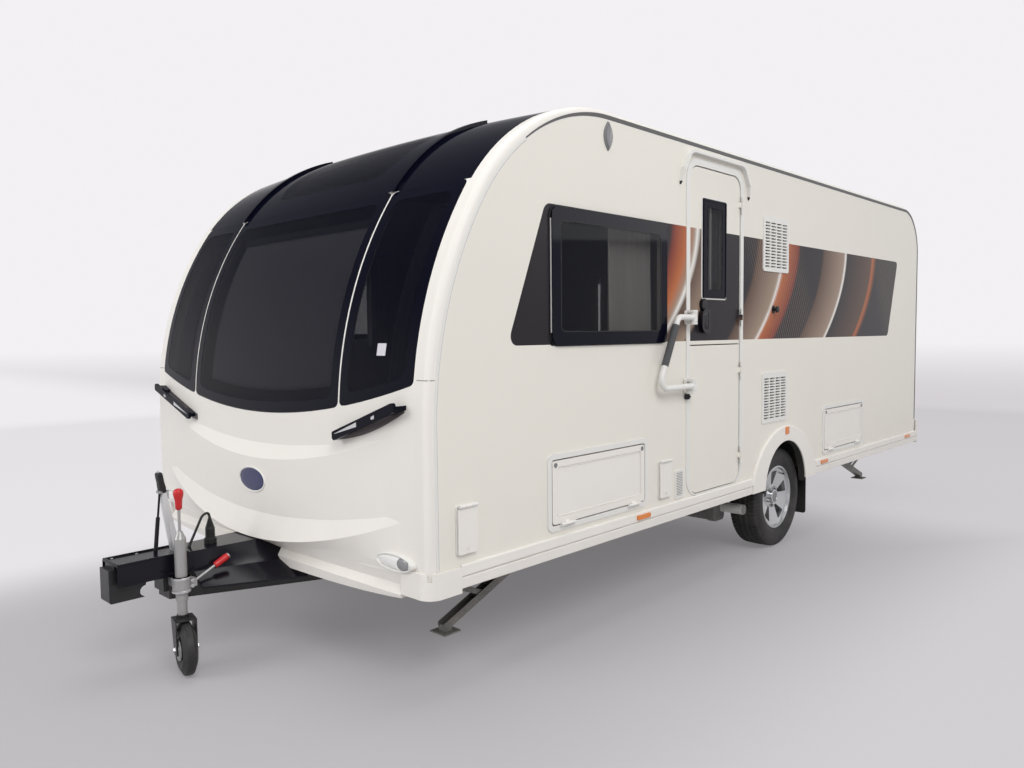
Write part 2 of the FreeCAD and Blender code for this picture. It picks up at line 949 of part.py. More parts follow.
def make_side_windows():
    """Acrylic panes seated on the outside of the walls, rounded at the corners."""
    def panes(spans):
        return [side_panel(*span, window_radius, side_x, side_x + window_pane) for span in spans]

    far = [mirrored(pane) for pane in panes(window_spans_left())]
    save("side_windows", Part.makeCompound(panes(window_spans_right()) + far))


def make_floor():
    """Floor panel with a round-topped, hollow housing over each wheel, open below and outside."""
    front = front_y + front_bulge + rail_depth + seat_gap
    rear = panel_rear_y - rear_bulge - rail_depth - seat_gap
    middle = block(-corner_x, corner_x, front_y, rear_y, floor_bottom, floor_top)
    middle = middle.common(skin_solid(skin_thickness + seat_gap, floor_bottom - overrun))
    sides = block(-wall_inner_x + seat_gap, wall_inner_x - seat_gap, front, rear, floor_bottom, floor_top)
    floor = middle.fuse(sides)
    reach = arch_radius + wheel_box_gap
    box, cavity = wheel_box(reach, 0), wheel_box(reach - wheel_box_wall, wheel_box_wall)
    boxes = [box, mirrored(box)]
    save("floor_panel", floor.fuse(boxes).cut([cavity, mirrored(cavity)]).removeSplitter())


def wheel_box(reach, wall):
    """Solid of one wheel housing: the outside, or its cavity when given the wall."""
    high = arch_centre_height + reach
    low = floor_bottom - overrun * wall
    corners = [
        (arch_y - reach, low, 0), (arch_y + reach, low, 0), (arch_y + reach, high, reach / 2),
        (arch_y - reach, high, reach / 2)
    ]
    outer_x = wall_inner_x - seat_gap + wall
    return plate(corners, in_yz(wheel_box_inner + wall), V(outer_x - wheel_box_inner - wall, 0, 0))


def skirt_section(y):
    """Skirt moulding's section, rounded on top and grooved along its middle."""
    x0, x1 = side_x + seat_gap, side_x + skirt_depth
    g = skirt_groove
    mid = skirt_groove_height
    corners = [
        (x0, skirt_bottom, 0),
        (x1 - g, skirt_bottom, g / 2),
        (x1 - g / 2, mid - g, g / 2),
        (x1 - g * 2, mid, 0),
        (x1, mid + g, g / 2),
        (x1, skirt_top, skirt_depth / 2),
        (x0, skirt_top, 0),
    ]
    return rounded_wire(corners, in_xz(y))


def make_skirts():
    """Skirt mouldings ahead of and behind each wheel arch, with an inner leg to the floor."""
    half = arch_trim_width / 2
    front = front_y + front_bulge + corner_piece_back + seat_gap
    rear = panel_rear_y - rear_bulge
    runs = []
    for y0, y1 in ((front, arch_y - half - seat_gap), (arch_y + half + seat_gap, rear)):
        face = Part.Face(skirt_section(y0))
        skirt = face.extrude(V(0, y1 - y0, 0))
        leg = block(wall_inner_x, side_x + seat_gap, y0, y1, skirt_bottom, floor_bottom - seat_gap)
        run = joined([skirt, leg])
        runs += [run, mirrored(run)]
    save("skirts", Part.makeCompound(runs))


def arch_hollow(radius, x0, x1, low):
    """Round-topped opening of the wheel arch between two depths."""
    drum = rod(V(x0, arch_y, arch_centre_height), V(x1, arch_y, arch_centre_height), radius)
    legs = block(x0, x1, arch_y - radius, arch_y + radius, low, arch_centre_height)
    upper = block(x0, x1, arch_y - radius, arch_y + radius, arch_centre_height, roof_low)
    return drum.common(upper).fuse(legs) if low < arch_centre_height else drum.common(upper)


def arch_trim():
    """Wheel arch moulding: a band outside, rounded over its edge, and a return lip inside."""
    half = arch_trim_width / 2
    place = in_yz(side_x + seat_gap)
    a = place(arch_y - half, arch_trim_foot)
    b = place(arch_y, arch_trim_height)
    c = place(arch_y + half, arch_trim_foot)
    d = place(arch_y + half, skirt_bottom)
    e = place(arch_y - half, skirt_bottom)
    edges = [Part.Arc(a, b, c).toShape()]
    edges += [Part.LineSegment(u, v).toShape() for u, v in ((c, d), (d, e), (e, a))]
    band = Part.Face(Part.Wire(edges)).extrude(V(arch_trim_depth, 0, 0))
    outer_x = side_x + seat_gap + arch_trim_depth
    crown = [
        g for g in band.Edges
        if g.BoundBox.XMin > outer_x - seat_gap and g.BoundBox.ZMax > arch_trim_foot + overrun
    ]
    band = band.makeFillet(arch_trim_depth / 2, crown)
    lip = arch_hollow(arch_radius - seat_gap, wall_inner_x, side_x + seat_gap, skirt_bottom)
    inner = arch_hollow(arch_radius - arch_return, wall_inner_x - overrun, outer_x + overrun, 0)
    keep = block(wall_inner_x, outer_x, arch_y - half, arch_y + half, skirt_bottom, roof_low)
    return joined([band, lip]).cut(inner).common(keep)


def make_arches():
    """One moulding round each wheel."""
    trim = arch_trim()
    save("arch_trims", Part.makeCompound([trim, mirrored(trim)]))


def panel_section(x, share):
    """Side-view outline of the front panel's swell at x; share runs from 0 at the middle to 1."""
    s2 = share ** 2
    nose = front_y + front_bulge * s2
    ledge = ledge_depth * (1 - s2 / ledge_fade_share ** 2)
    swell = ledge + nose_depth * (1 - s2)
    low = panel_bottom + panel_bottom_rise * s2 ** 2
    points = [
        (nose + panel_blend, ledge_top + ledge_top_rise * s2 + panel_blend),
        (nose - ledge, ledge_low + ledge_low_rise * s2),
        (nose - ledge, crease_height + crease_rise * s2),
        (nose - swell, nose_height + nose_rise * s2),
        (nose - swell / 3, tuck_height + tuck_rise * s2 * (1 - s2)),
        (nose + channel_depth * (1 - s2 / 2), channel_height),
        (nose - lip_depth, lip_height - lip_depth * s2),
        (nose - lip_depth / 2, low),
        (nose + panel_wall, low),
        (nose + panel_wall, ledge_top + ledge_top_rise * s2 + panel_blend),
    ]
    place = in_yz(x)
    spots = [place(*p) for p in points]
    return Part.Wire([Part.LineSegment(a, b).toShape() for a, b in zip(spots, spots[1:] + spots[:1])])


def make_front_panel():
    """Moulded lower front: flat skin up to the sill, with ledge, crease, swell and lip."""
    stations = [-share for share in panel_station_shares[:0:-1]] + list(panel_station_shares)
    swell = Part.makeLoft([panel_section(s * corner_x, abs(s)) for s in stations], True, False)
    front = block(-side_x, side_x, front_y - overrun, front_y + rail_depth * 2, floor_bottom, roof_low)
    base = skin_shell(skin_thickness).common(front).cut(above_sill())
    panel = base.fuse(swell)
    room = block(corner_piece_x, side_x, front_y - overrun * 4, rear_y, 0, corner_piece_top)
    cover = cover_solid(seat_gap, front_y + rail_depth * 2)
    save("front_panel", panel.cut([room, mirrored(room), cover]).removeSplitter())


def corner_piece():
    """Bumper corner that turns from the front panel to the skirt, hollow and open below."""
    nose = front_y + front_bulge
    front = nose - corner_piece_proud
    back = nose + corner_piece_back
    x0, x1 = corner_piece_x + seat_gap, side_x + skirt_depth
    wall = corner_piece_wall
    outline = [(x0, front, 0), (x1, front, corner_piece_radius), (x1, back, 0), (x0, back, 0)]
    tall = V(0, 0, corner_piece_top - corner_piece_bottom - seat_gap)
    piece = plate(outline, in_xy(corner_piece_bottom), tall)
    inside = [
        (x0 - overrun, front + wall, 0), (x1 - wall, front + wall, corner_piece_radius - wall),
        (x1 - wall, back + overrun, 0), (x0 - overrun, back + overrun, 0)
    ]
    hollow = plate(inside, in_xy(corner_piece_bottom - overrun), tall * 2)
    body = block(0, side_x + seat_gap, nose - seat_gap, back + overrun, floor_bottom - seat_gap, roof_low)
    return piece.cut([hollow, body])


def make_bumpers():
    """Rear bumper across the back, wrapped round both corners, and the two front corners."""
    far = side_x + skirt_depth
    back = panel_rear_y - rear_bulge + seat_gap
    low, high = rear_bumper_bottom, rear_bumper_top
    r = rear_bumper_corner
    outline = [(-far, back, 0), (far, back, 0), (far, rear_y, r), (-far, rear_y, r)]
    bar = plate(outline, in_xy(low), V(0, 0, high - low))
    body = block(
        -side_x - seat_gap, side_x + seat_gap, back - overrun, panel_rear_y + seat_gap,
        floor_bottom - seat_gap, high + overrun
    )
    piece = corner_piece()
    save("bumpers", Part.makeCompound([bar.cut(body), piece, mirrored(piece)]))


def make_rear_lamps():
    """Tall lamp clusters of stacked round pods, and the high brake lamp."""
    face = panel_rear_y + seat_gap
    z0 = rear_lamp_bottom
    corners = frame_corners(
        rear_lamp_x - rear_lamp_wide / 2, rear_lamp_x + rear_lamp_wide / 2, z0,
        z0 + rear_lamp_tall, rear_lamp_radius
    )
    base = plate(
        corners, in_xz(face - rear_bumper_depth),
        V(0, rear_bumper_depth + rear_lamp_depth / 2 - seat_gap, 0)
    )
    base = base.cut(skin_solid(-seat_gap, floor_bottom - overrun))
    pods = [base]
    pitch = rear_lamp_tall / rear_lamp_pods
    for i in range(rear_lamp_pods):
        z = z0 + pitch * (i + 0.5)
        pods.append(
            rod(
                V(rear_lamp_x, face, z), V(rear_lamp_x, rear_y - seat_gap, z),
                rear_lamp_wide / 2 - rear_lamp_radius / 2
            )
        )
    lamp = joined(pods)
    half = high_lamp_wide / 2
    corners = frame_corners(
        -half, half, high_lamp_height, high_lamp_height + high_lamp_tall, high_lamp_tall / 3
    )
    high = plate(corners, in_xz(face), V(0, rear_lamp_depth / 2, 0))
    save("rear_lamps", Part.makeCompound([lamp, mirrored(lamp), high]))


def door_leaf(z0, z1, corners_low, corners_high):
    """Half of the door, with its outer corners rounded and its meeting edge square."""
    corners = [
        (door_front_y, z0, corners_low), (door_rear_y, z0, corners_low),
        (door_rear_y, z1, corners_high), (door_front_y, z1, corners_high)
    ]
    return plate(corners, in_yz(side_x - door_thickness), V(door_thickness, 0, 0))


def make_door():
    """Stable door: lower half, upper half with its window, and the latch."""
    lower = door_leaf(door_bottom, door_split - moving_gap / 2, door_corner, 0)
    upper = door_leaf(door_split + moving_gap / 2, door_top, 0, door_corner)
    y0, y1, z0, z1 = door_windows_span()
    b = door_window_border
    upper = upper.cut(wall_hole(y0 + b, y1 - b, z0 + b, z1 - b, b / 2))
    hinges = door_hinge_parts()
    save("door_lower", joined([lower] + [moving for fixed, moving in hinges[:2]]))
    save("door_upper", joined([upper] + [moving for fixed, moving in hinges[2:]]))
    save("door_window", side_panel(y0, y1, z0, z1, b / 2, side_x, side_x + window_pane / 2))
    save("door_latch", door_latch())


def door_hinge_parts():
    """Fixed and moving halves of the door's four hinges, from the lowest to the highest."""
    axis = V(side_x + door_axis_out, door_rear_y + door_axis_back, 0)
    d = door_hinge_inset
    heights = [door_bottom + d, door_split - d, door_split + d, door_top - d]
    to_door = V(-door_axis_out - hinge_bite, -door_axis_out - door_axis_back, 0)
    to_frame = V(-door_axis_out + door_frame_proud - hinge_bite, door_axis_out, 0)
    return [hinge(axis + V(0, 0, z), V(0, 0, 1), to_frame, to_door) for z in heights]


def door_latch():
    """Bow-shaped pull with a finger gap, and the round lock above it."""
    y = door_front_y + latch_ahead
    half, tall = latch_width / 2, latch_length / 2
    z = latch_height
    bow = plate(
        [
            (y - half, z - tall, half), (y + half, z - tall, lock_depth / 2),
            (y + half, z + tall, lock_depth / 2), (y - half, z + tall, half)
        ],
        in_yz(side_x), V(latch_depth, 0, 0)
    )
    gap = side_panel(
        y - half / 2, y + half / 2, z - tall * 2 / 3, z + tall * 2 / 3, half / 4,
        side_x + latch_depth / 3, side_x + latch_depth * 2
    )
    top = z + lock_above
    lock = rod(V(side_x, y, top), V(side_x + lock_depth, y, top), lock_radius)
    bridge = block(side_x, side_x + lock_depth / 2, y - half / 2, y + half / 2, z, top)
    return joined([bow.cut(gap), lock, bridge])


def make_door_surround():
    """Frame round the doorway with its fixed hinge halves, and the drip rail over it."""
    g, w, p = moving_gap, door_frame_width, door_frame_proud
    low = door_bottom - g - p
    ring = side_panel(
        door_front_y - g - w, door_rear_y + g + w, low, door_top + g + w, door_corner + w, side_x,
        side_x + p
    )
    liner = side_panel(
        door_front_y - g - p + seat_gap, door_rear_y + g + p - seat_gap, low + seat_gap,
        door_top + g + p - seat_gap, door_corner + g + p, wall_inner_x, side_x
    )
    hole = wall_hole(door_front_y - g, door_rear_y + g, door_bottom - g, door_top + g, door_corner + g)
    frame = joined([ring, liner]).cut(hole)
    frame = joined([frame] + [fixed for fixed, moving in door_hinge_parts()])
    save("door_surround", Part.makeCompound([frame, drip_rail()]))


def drip_rail():
    """Gutter strip bent down at both ends over the door."""
    y0, y1 = door_front_y - drip_rail_overhang, door_rear_y + drip_rail_overhang
    high = door_top + door_frame_width + moving_gap + drip_rail_rise
    low = high - drip_rail_drop
    t = drip_rail_height
    bend = drip_rail_bend
    corners = [
        (y0, low, 0), (y0 + t, low, 0), (y0 + t + bend, high, bend), (y1 - t - bend, high, bend),
        (y1 - t, low, 0), (y1, low, 0), (y1 - bend, high + t, bend), (y0 + bend, high + t, bend)
    ]
    return plate(corners, in_yz(side_x), V(drip_rail_proud, 0, 0))


def hand_rail_axis():
    """Foot of the hand rail's upright pivot line."""
    return V(side_x + rail_axis_out, door_front_y - rail_axis_ahead, 0)


def make_hand_rail():
    """Bent tube with two eyes, folded forward beside the door, and the feet that carry it."""
    axis = hand_rail_axis()
    top = axis + V(0, 0, rail_upper)
    low = axis + V(0, 0, rail_lower)
    start = top - V(0, rail_boss / 2, 0)
    end = low - V(0, rail_boss / 2, 0)
    tube = bent_tube(
        [start, top - V(0, rail_upper_reach, 0), low - V(0, rail_lower_reach, 0), end], rail_tube,
        rail_bend
    )
    eyes = []
    feet = []
    for centre in (top, low):
        half = V(0, 0, rail_boss_height / 2)
        eyes.append(rod(centre - half, centre + half, rail_boss))
        feet.append(hand_rail_foot(centre))
    bores = [
        rod(c - V(0, 0, overrun * 2), c + V(0, 0, overrun * 2), rail_pin + hinge_play)
        for c in (top, low)
    ]
    save("hand_rail", joined([tube] + eyes).cut(bores))
    save("hand_rail_feet", Part.makeCompound(feet))


def hand_rail_foot(centre):
    """Wall plate with two ears and the pin that the hand rail's eye turns on."""
    tall, wide = rail_foot_height / 2, rail_foot_width / 2
    z0, z1 = centre.z - tall, centre.z + tall
    x0 = side_x + door_frame_proud + seat_gap
    base = side_panel(centre.y - wide, centre.y + wide, z0, z1, rail_foot_depth, x0, x0 + rail_foot_depth)
    ears = []
    for up in (-1, 1):
        near = centre.z + up * (rail_boss_height / 2 + hinge_gap)
        far = centre.z + up * tall
        ears.append(block(x0, centre.x, centre.y - rail_boss, centre.y + rail_boss, near, far))
        ears.append(
            rod(V(centre.x, centre.y, min(near, far)), V(centre.x, centre.y, max(near, far)), rail_boss)
        )
    pin = rod(centre - V(0, 0, tall), centre + V(0, 0, tall), rail_pin)
    return joined([base, pin] + ears)


def make_lockers():
    """Big locker doors, framed, with a recessed panel, hinged along the bottom edge."""
    frames = []
    f = locker_frame
    for name, y0, y1 in lockers():
        z0, z1 = locker_bottom, locker_bottom + locker_height
        ring = side_panel(
            y0 - f, y1 + f, z0 - f, z1 + f, locker_radius + f, side_x, side_x + locker_proud
        )
        liner = side_panel(
            y0 + seat_gap, y1 - seat_gap, z0 + seat_gap, z1 - seat_gap, locker_radius,
            wall_inner_x, side_x
        )
        hole = wall_hole(y0 + f / 3, y1 - f / 3, z0 + f / 3, z1 - f / 3, locker_radius)
        g = f / 3 + moving_gap
        outer = side_x + locker_proud
        lid = side_panel(y0 + g, y1 - g, z0 + g, z1 - g, locker_radius, outer - locker_lid, outer)
        r = locker_recess
        pocket = side_panel(
            y0 + r, y1 - r, z0 + r, z1 - r, locker_radius, outer - locker_recess_depth,
            side_x + overrun
        )
        lid = lid.cut(pocket)
        fixed, moving = [joined([ring, liner]).cut(hole)], [lid]
        axis = V(outer + hinge_out, (y0 + y1) / 2, z0 + g - hinge_drop)
        for side in (-1, 1):
            spot = axis + V(0, side * (y1 - y0) / 2 * hinge_spread_share, 0)
            down, up = V(-hinge_out - hinge_bite, 0, -hinge_out), V(
                -hinge_out - hinge_bite, 0, hinge_out + hinge_drop
            )
            a, b = hinge(spot, V(0, 1, 0), down, up)
            fixed.append(a)
            moving.append(b)
        frames.append(joined(fixed))
        save("locker_door_" + name, joined(moving))
    return frames


def make_flaps():
    """Small service flaps over shallow cups, hinged along the top edge."""
    frames = []
    f = flap_frame
    for name, y0 in flaps():
        y1, z0, z1 = y0 + flap_width, flap_bottom, flap_bottom + flap_height
        outer = side_x + flap_proud
        ring = side_panel(y0 - f, y1 + f, z0 - f, z1 + f * 2, locker_radius, side_x, outer)
        cup = side_panel(
            y0 + seat_gap, y1 - seat_gap, z0 + seat_gap, z1 - seat_gap, locker_radius / 2,
            wall_inner_x, side_x
        )
        hole = side_panel(
            y0 + f / 2, y1 - f / 2, z0 + f / 2, z1 - f / 2, locker_radius / 2,
            side_x - wall_thickness / 2, side_x + overrun
        )
        lid_x = outer + flap_gap
        lid = side_panel(
            y0 - f / 2, y1 + f / 2, z0 - f / 2, z1 + f / 2, locker_radius / 2, lid_x,
            lid_x + flap_lid / 2
        )
        axis = V(lid_x + hinge_knuckle + hinge_gap, (y0 + y1) / 2, z1 + f / 2 + hinge_knuckle + hinge_gap)
        to_lid = V(lid_x + hinge_bite - axis.x, 0, z1 - axis.z)
        to_ring = V(outer - hinge_bite - axis.x, 0, 0)
        a, b = hinge(axis, V(0, 1, 0), to_ring, to_lid)
        frames.append(joined([joined([ring, cup]).cut(hole), a]))
        save("flap_" + name, joined([lid, b]))
    return frames


def make_hatches():
    """Locker doors and flaps; all their frames share a node."""
    save("hatch_frames", Part.makeCompound(make_lockers() + make_flaps()))


def make_vents():
    """Fridge vents: a frame with columns of slots, seated in the wall."""
    y1 = axle_y - vent_ahead
    y0 = y1 - vent_width
    grilles = []
    for z0, tall in vents():
        z1 = z0 + tall
        b = vent_border / 2
        panel = side_panel(y0, y1, z0, z1, locker_radius, side_x, side_x + vent_proud)
        plug = side_panel(
            y0 + b + seat_gap, y1 - b - seat_gap, z0 + b + seat_gap, z1 - b - seat_gap,
            locker_radius / 2, side_x - vent_depth, side_x
        )
        grille = joined([panel, plug])
        clear_y = vent_width - vent_border * 2
        clear_z = tall - vent_border * 2
        slot_y = (clear_y - vent_bar * (vent_columns - 1)) / vent_columns
        pitch = clear_z / vent_rows
        slots = []
        for column in range(vent_columns):
            left = y0 + vent_border + column * (slot_y + vent_bar)
            for row in range(vent_rows):
                low = z0 + vent_border + row * pitch
                slots.append(
                    block(
                        side_x - wall_thickness, side_x + overrun, left, left + slot_y, low,
                        low + pitch / 2
                    )
                )
        grilles.append(grille.cut(slots))
    save("fridge_vents", Part.makeCompound(grilles))


def make_markers():
    """Amber side markers on the skirts and on the arches."""
    lamps = []
    half, face = marker_length / 2, side_x + skirt_depth
    places = [axle_y - marker_front_ahead, axle_y + marker_rear_behind, rear_y - marker_tail_inset]
    for y in places:
        lamps.append(
            side_panel(
                y - half, y + half, marker_level, marker_level + marker_height, marker_height / 3,
                face, face + marker_depth
            )
        )
    low, half = arch_trim_height - marker_height * 2, marker_height / 2
    arch_x = side_x + seat_gap + arch_trim_depth
    lamps.append(
        side_panel(
            arch_y - half, arch_y + half, low, low + marker_height, marker_height / 4, arch_x,
            arch_x + marker_depth / 2
        )
    )
    save("side_markers", Part.makeCompound(lamps + [mirrored(lamp) for lamp in lamps]))


def grab_place(share):
    """A point along the grab handle's line on the front, from its inner to its outer end."""
    x = grab_inner_x + (grab_outer_x - grab_inner_x) * share
    z = grab_inner_height + (grab_outer_height - grab_inner_height) * share
    return x, z


def make_grab_handles():
    """Slanted bar on two feet at each side of the front, with room for fingers behind."""
    skin_y = front_y + front_bulge
    bar_y = skin_y - grab_stand
    x0, z0 = grab_place(0)
    x1, z1 = grab_place(1)
    h = grab_bar
    bar = plate(
        [(x0, z0 - h, h / 2), (x1, z1 - h / 2, h / 3), (x1, z1 + h, h / 2), (x0, z0 + h / 2, h / 3)],
        in_xz(bar_y), V(0, h / 2, 0)
    )
    feet = []
    for share in (0, 1):
        x, z = grab_place(share)
        inward = grab_foot_wide * (1 - 2 * share)
        lean = (z1 - z0) / (x1 - x0) * inward
        low_a, low_b = (x, z - h / 3), (x + inward, z + lean - h / 3)
        high_b, high_a = (x + inward, z + lean + h / 3), (x, z + h / 3)
        feet.append(
            plate(
                [p + (0,) for p in (low_a, low_b, high_b, high_a)], in_xz(bar_y + h / 4),
                V(0, grab_stand + overrun, 0)
            )
        )
    handle = bar.fuse(feet)
    handle = handle.cut(skin_solid(-seat_gap, floor_bottom - overrun)).cut(
        block(0, side_x, skin_y + seat_gap, skin_y + overrun * 8, floor_bottom, roof_low)
    )
    save("grab_handles", Part.makeCompound([handle, mirrored(handle)]))


def wheel():
    """Tyre and spoked rim about the axle on the +X side; the rim is turned and then pierced."""
    outer = wheel_outer_x
    inner = outer - tyre_width
    r, bead = tyre_diameter / 2, rim_diameter / 2
    shoulder = (r - bead) / 3
    inset = (tyre_width - rim_width) / 2
    centre = V(0, axle_y, wheel_centre_z)

    def place(x, radius):
        return V(x, axle_y, wheel_centre_z + radius)

    outline = [
        (inner + inset, bead, 0), (outer - inset, bead, 0),
        (outer, r - shoulder * 2, shoulder / 2),
        (outer - shoulder / 4, r - shoulder / 2, shoulder / 3),
        (outer - shoulder, r, shoulder / 3), (inner + shoulder, r, shoulder / 3),
        (inner + shoulder / 4, r - shoulder / 2, shoulder / 3),
        (inner, r - shoulder * 2, shoulder / 2)
    ]
    tyre = Part.Face(rounded_wire(outline, place)).revolve(centre, V(1, 0, 0), 360)
    t, seat = rim_flange, bead - seat_gap
    face = outer - inset - overrun
    band = [
        (inner + inset, seat, 0), (outer - inset, seat, 0), (outer - inset, seat - t, 0),
        (face, seat - t * 2, 0), (inner + inset, seat - t, 0)
    ]
    ring = Part.Face(rounded_wire(band, place)).revolve(centre, V(1, 0, 0), 360)
    hub, back = drum_diameter / 3, wheel_disc_x()
    dish = [
        (back, hub_bore, 0), (face - t, hub_bore, 0), (face - t, hub, 0), (face + t, seat - t, 0),
        (face - t, seat - t, 0), (back, hub, 0)
    ]
    disc = Part.Face(rounded_wire(dish, place)).revolve(centre, V(1, 0, 0), 360)
    cap = rod(V(face - t, axle_y, wheel_centre_z), V(face + t, axle_y, wheel_centre_z), hub_bore + t)
    return tyre, joined([ring, disc.cut(spoke_gaps(hub, seat - t * 3)), cap])


def spoke_gaps(inner, outer):
    """Cutters between the spokes, narrow at the hub and wide at the rim."""
    step = 2 * math.pi / spoke_count
    spread = step / 5
    cutters = []
    for i in range(spoke_count):
        corners = []
        for radius, angle in (
            (inner, -spread / 2), (outer, -spread), (outer, spread), (inner, spread / 2)
        ):
            turn = i * step + angle
            corners.append(
                (axle_y + radius * math.sin(turn), wheel_centre_z + radius * math.cos(turn), rim_flange)
            )
        cutters.append(plate(corners, in_yz(wheel_outer_x - tyre_width), V(tyre_width, 0, 0)))
    return cutters


def make_wheels():
    """Both road wheels."""
    tyre, rim = wheel()
    save("tyre_right", tyre)
    save("rim_right", rim)
    save("tyre_left", mirrored(tyre))
    save("rim_left", mirrored(rim))


def axle_outline(radius):
    """Corners of the axle tube's six-sided section."""
    tube_y, tube_z = axle_y - axle_tube_ahead, wheel_centre_z + axle_tube_rise
    turns = [k * math.pi / 3 for k in range(6)]
    return [(tube_y + radius * math.cos(t), tube_z + radius * math.sin(t), radius / 4) for t in turns]


def make_axle():
    """Torsion axle: six-sided tube, trailing arms, brake drums and wheel hubs."""
    tube_y, tube_z = axle_y - axle_tube_ahead, wheel_centre_z + axle_tube_rise
    far = wheel_outer_x - tyre_width - drum_width - arm_thickness
    tube = plate(axle_outline(axle_tube / 2), in_yz(-far), V(far * 2, 0, 0))
    half = arm_width / 2
    outline = [
        (tube_y - half, tube_z - half, half / 2), (axle_y, wheel_centre_z - half, half / 2),
        (axle_y + half, wheel_centre_z, half / 2), (axle_y, wheel_centre_z + half, half / 2),
        (tube_y - half, tube_z + half, half / 2)
    ]
    arm = plate(outline, in_yz(far), V(arm_thickness, 0, 0))
    drum_x = far + arm_thickness
    drum = rod(
        V(drum_x, axle_y, wheel_centre_z), V(drum_x + drum_width, axle_y, wheel_centre_z),
        drum_diameter / 2
    )
    hub = rod(
        V(drum_x, axle_y, wheel_centre_z), V(wheel_disc_x() - seat_gap, axle_y, wheel_centre_z),
        stub_radius
    )
    side = [arm, drum, hub]
    save("axle", joined([tube] + side + [mirrored(piece) for piece in side]))


def wheel_disc_x():
    """Where the back of the wheel's disc sits against the hub."""
    return wheel_outer_x - (tyre_width - rim_width) / 2 - overrun - rim_flange * 3


def chassis_rail():
    """One pressed chassis member: a channel with lightening holes, up against the floor."""
    y0 = front_y + chassis_front_setback
    y1 = panel_rear_y - chassis_rear_setback
    top = floor_bottom - seat_gap
    low = top - chassis_rail_height
    t = chassis_sheet
    web = block(rail_x, rail_x + t, y0, y1, low, top)
    upper = block(rail_x, rail_x + chassis_rail_width, y0, y1, top - t, top)
    lower = block(rail_x, rail_x + chassis_rail_width, y0, y1, low, low + t)
    rail = joined([web, upper, lower])
    pitch = (y1 - y0) / chassis_holes
    middle = (low + top) / 2
    holes = []
    for i in range(chassis_holes):
        y = y0 + pitch * (i + 0.5)
        if abs(y - axle_y + axle_tube_ahead) > axle_tube * 2:
            holes.append(
                rod(V(rail_x - overrun, y, middle), V(rail_x + overrun, y, middle), chassis_hole / 2)
            )
    return rail.cut(holes)


def make_chassis():
    """Both chassis members with the cross members and the axle brackets between them."""
    rail = chassis_rail()
    top = floor_bottom - seat_gap
    low = top - outrigger_height
    y0 = front_y + chassis_front_setback
    y1 = panel_rear_y - chassis_rear_setback
    wide = outrigger_width
    half = rail_x + chassis_sheet
    crosses = []
    for y in (y0 + wide, (y0 + axle_y) / 2, (y1 + axle_y) / 2, y1 - wide):
        crosses.append(block(-half, half, y - wide / 2, y + wide / 2, low, top))
    tube_y, tube_z = axle_y - axle_tube_ahead, wheel_centre_z + axle_tube_rise
    bracket = block(
        rail_x, rail_x + chassis_rail_width, tube_y - axle_tube, tube_y + axle_tube,
        tube_z + axle_tube / 3, top - chassis_sheet
    )
    seat = plate(axle_outline(axle_tube / 2 + seat_gap), in_yz(rail_x - overrun), V(overrun * 4, 0, 0))
    side = joined([rail, bracket]).cut(seat)
    save("chassis", joined([side, mirrored(side)] + crosses))


def drawbar_beam(grow):
    """The +X beam of the drawbar, thicker by grow on all its long faces."""
    y0 = nose_y + head_length + seat_gap
    y1 = front_y + chassis_front_setback + outrigger_width * 3
    inner, outer = drawbar_gap - grow, rail_x - seat_gap + grow
    w = drawbar_width + grow * 2
    corners = [(inner, y0, 0), (inner + w, y0, 0), (outer, y1, 0), (outer - w, y1, 0)]
    low = drawbar_top - drawbar_height - grow
    return plate(corners, in_xy(low), V(0, 0, drawbar_height + grow * 2))


def make_drawbar():
    """Two box beams that meet behind the coupling and spread to the chassis members."""
    y0 = nose_y + head_length + seat_gap
    low = drawbar_top - drawbar_height
    w = drawbar_width
    inner = drawbar_gap
    beam = drawbar_beam(0)
    tie = block(-inner - w / 2, inner + w / 2, y0, y0 + w * 2, low, low + w)
    save("drawbar", joined([beam, mirrored(beam), tie]))


def cover_section(y, share, grow):
    """Cover's section at y: a box on two sloping wings; share runs from its front to its rear."""
    wing = cover_wing_front + (cover_wing_rear - cover_wing_front) * share + grow
    step = cover_half + (cover_rear_step - cover_half) * share + grow
    top = cover_half + (cover_rear_top - cover_half) * share + grow
    low = cover_skirt - abs(grow)
    half = [(wing, low), (wing, low + cover_wall * 2), (step, cover_step + grow), (top, cover_top + grow)]
    points = half + [(-x, z) for x, z in reversed(half)]
    return rounded_wire([p + (0,) for p in points], in_xz(y))


def cover_solid(grow, rear):
    """Solid of the cover, larger all round by grow: the slim box, then the flared part."""
    y0 = nose_y + cover_front_setback
    y1 = nose_y + cover_wing_start
    half = cover_half + grow
    reach = rear - y1
    full = front_y - cover_rear_setback - y1
    box = block(-half, half, y0, y1 + cover_wall, cover_step - abs(grow), cover_top + grow)
    flare = Part.makeLoft(
        [cover_section(y1, 0, grow), cover_section(rear, reach / full, grow)], True, True
    )
    return box.fuse(flare)


def make_cover():
    """Drawbar cover: a slim box along the middle with wings that flare back to the body."""
    rear = front_y + skin_thickness - seat_gap
    shell = cover_solid(0, rear).cut(cover_solid(-cover_wall, rear + seat_gap))
    room = drawbar_beam(seat_gap)
    save("drawbar_cover", shell.cut([room, mirrored(room)]))


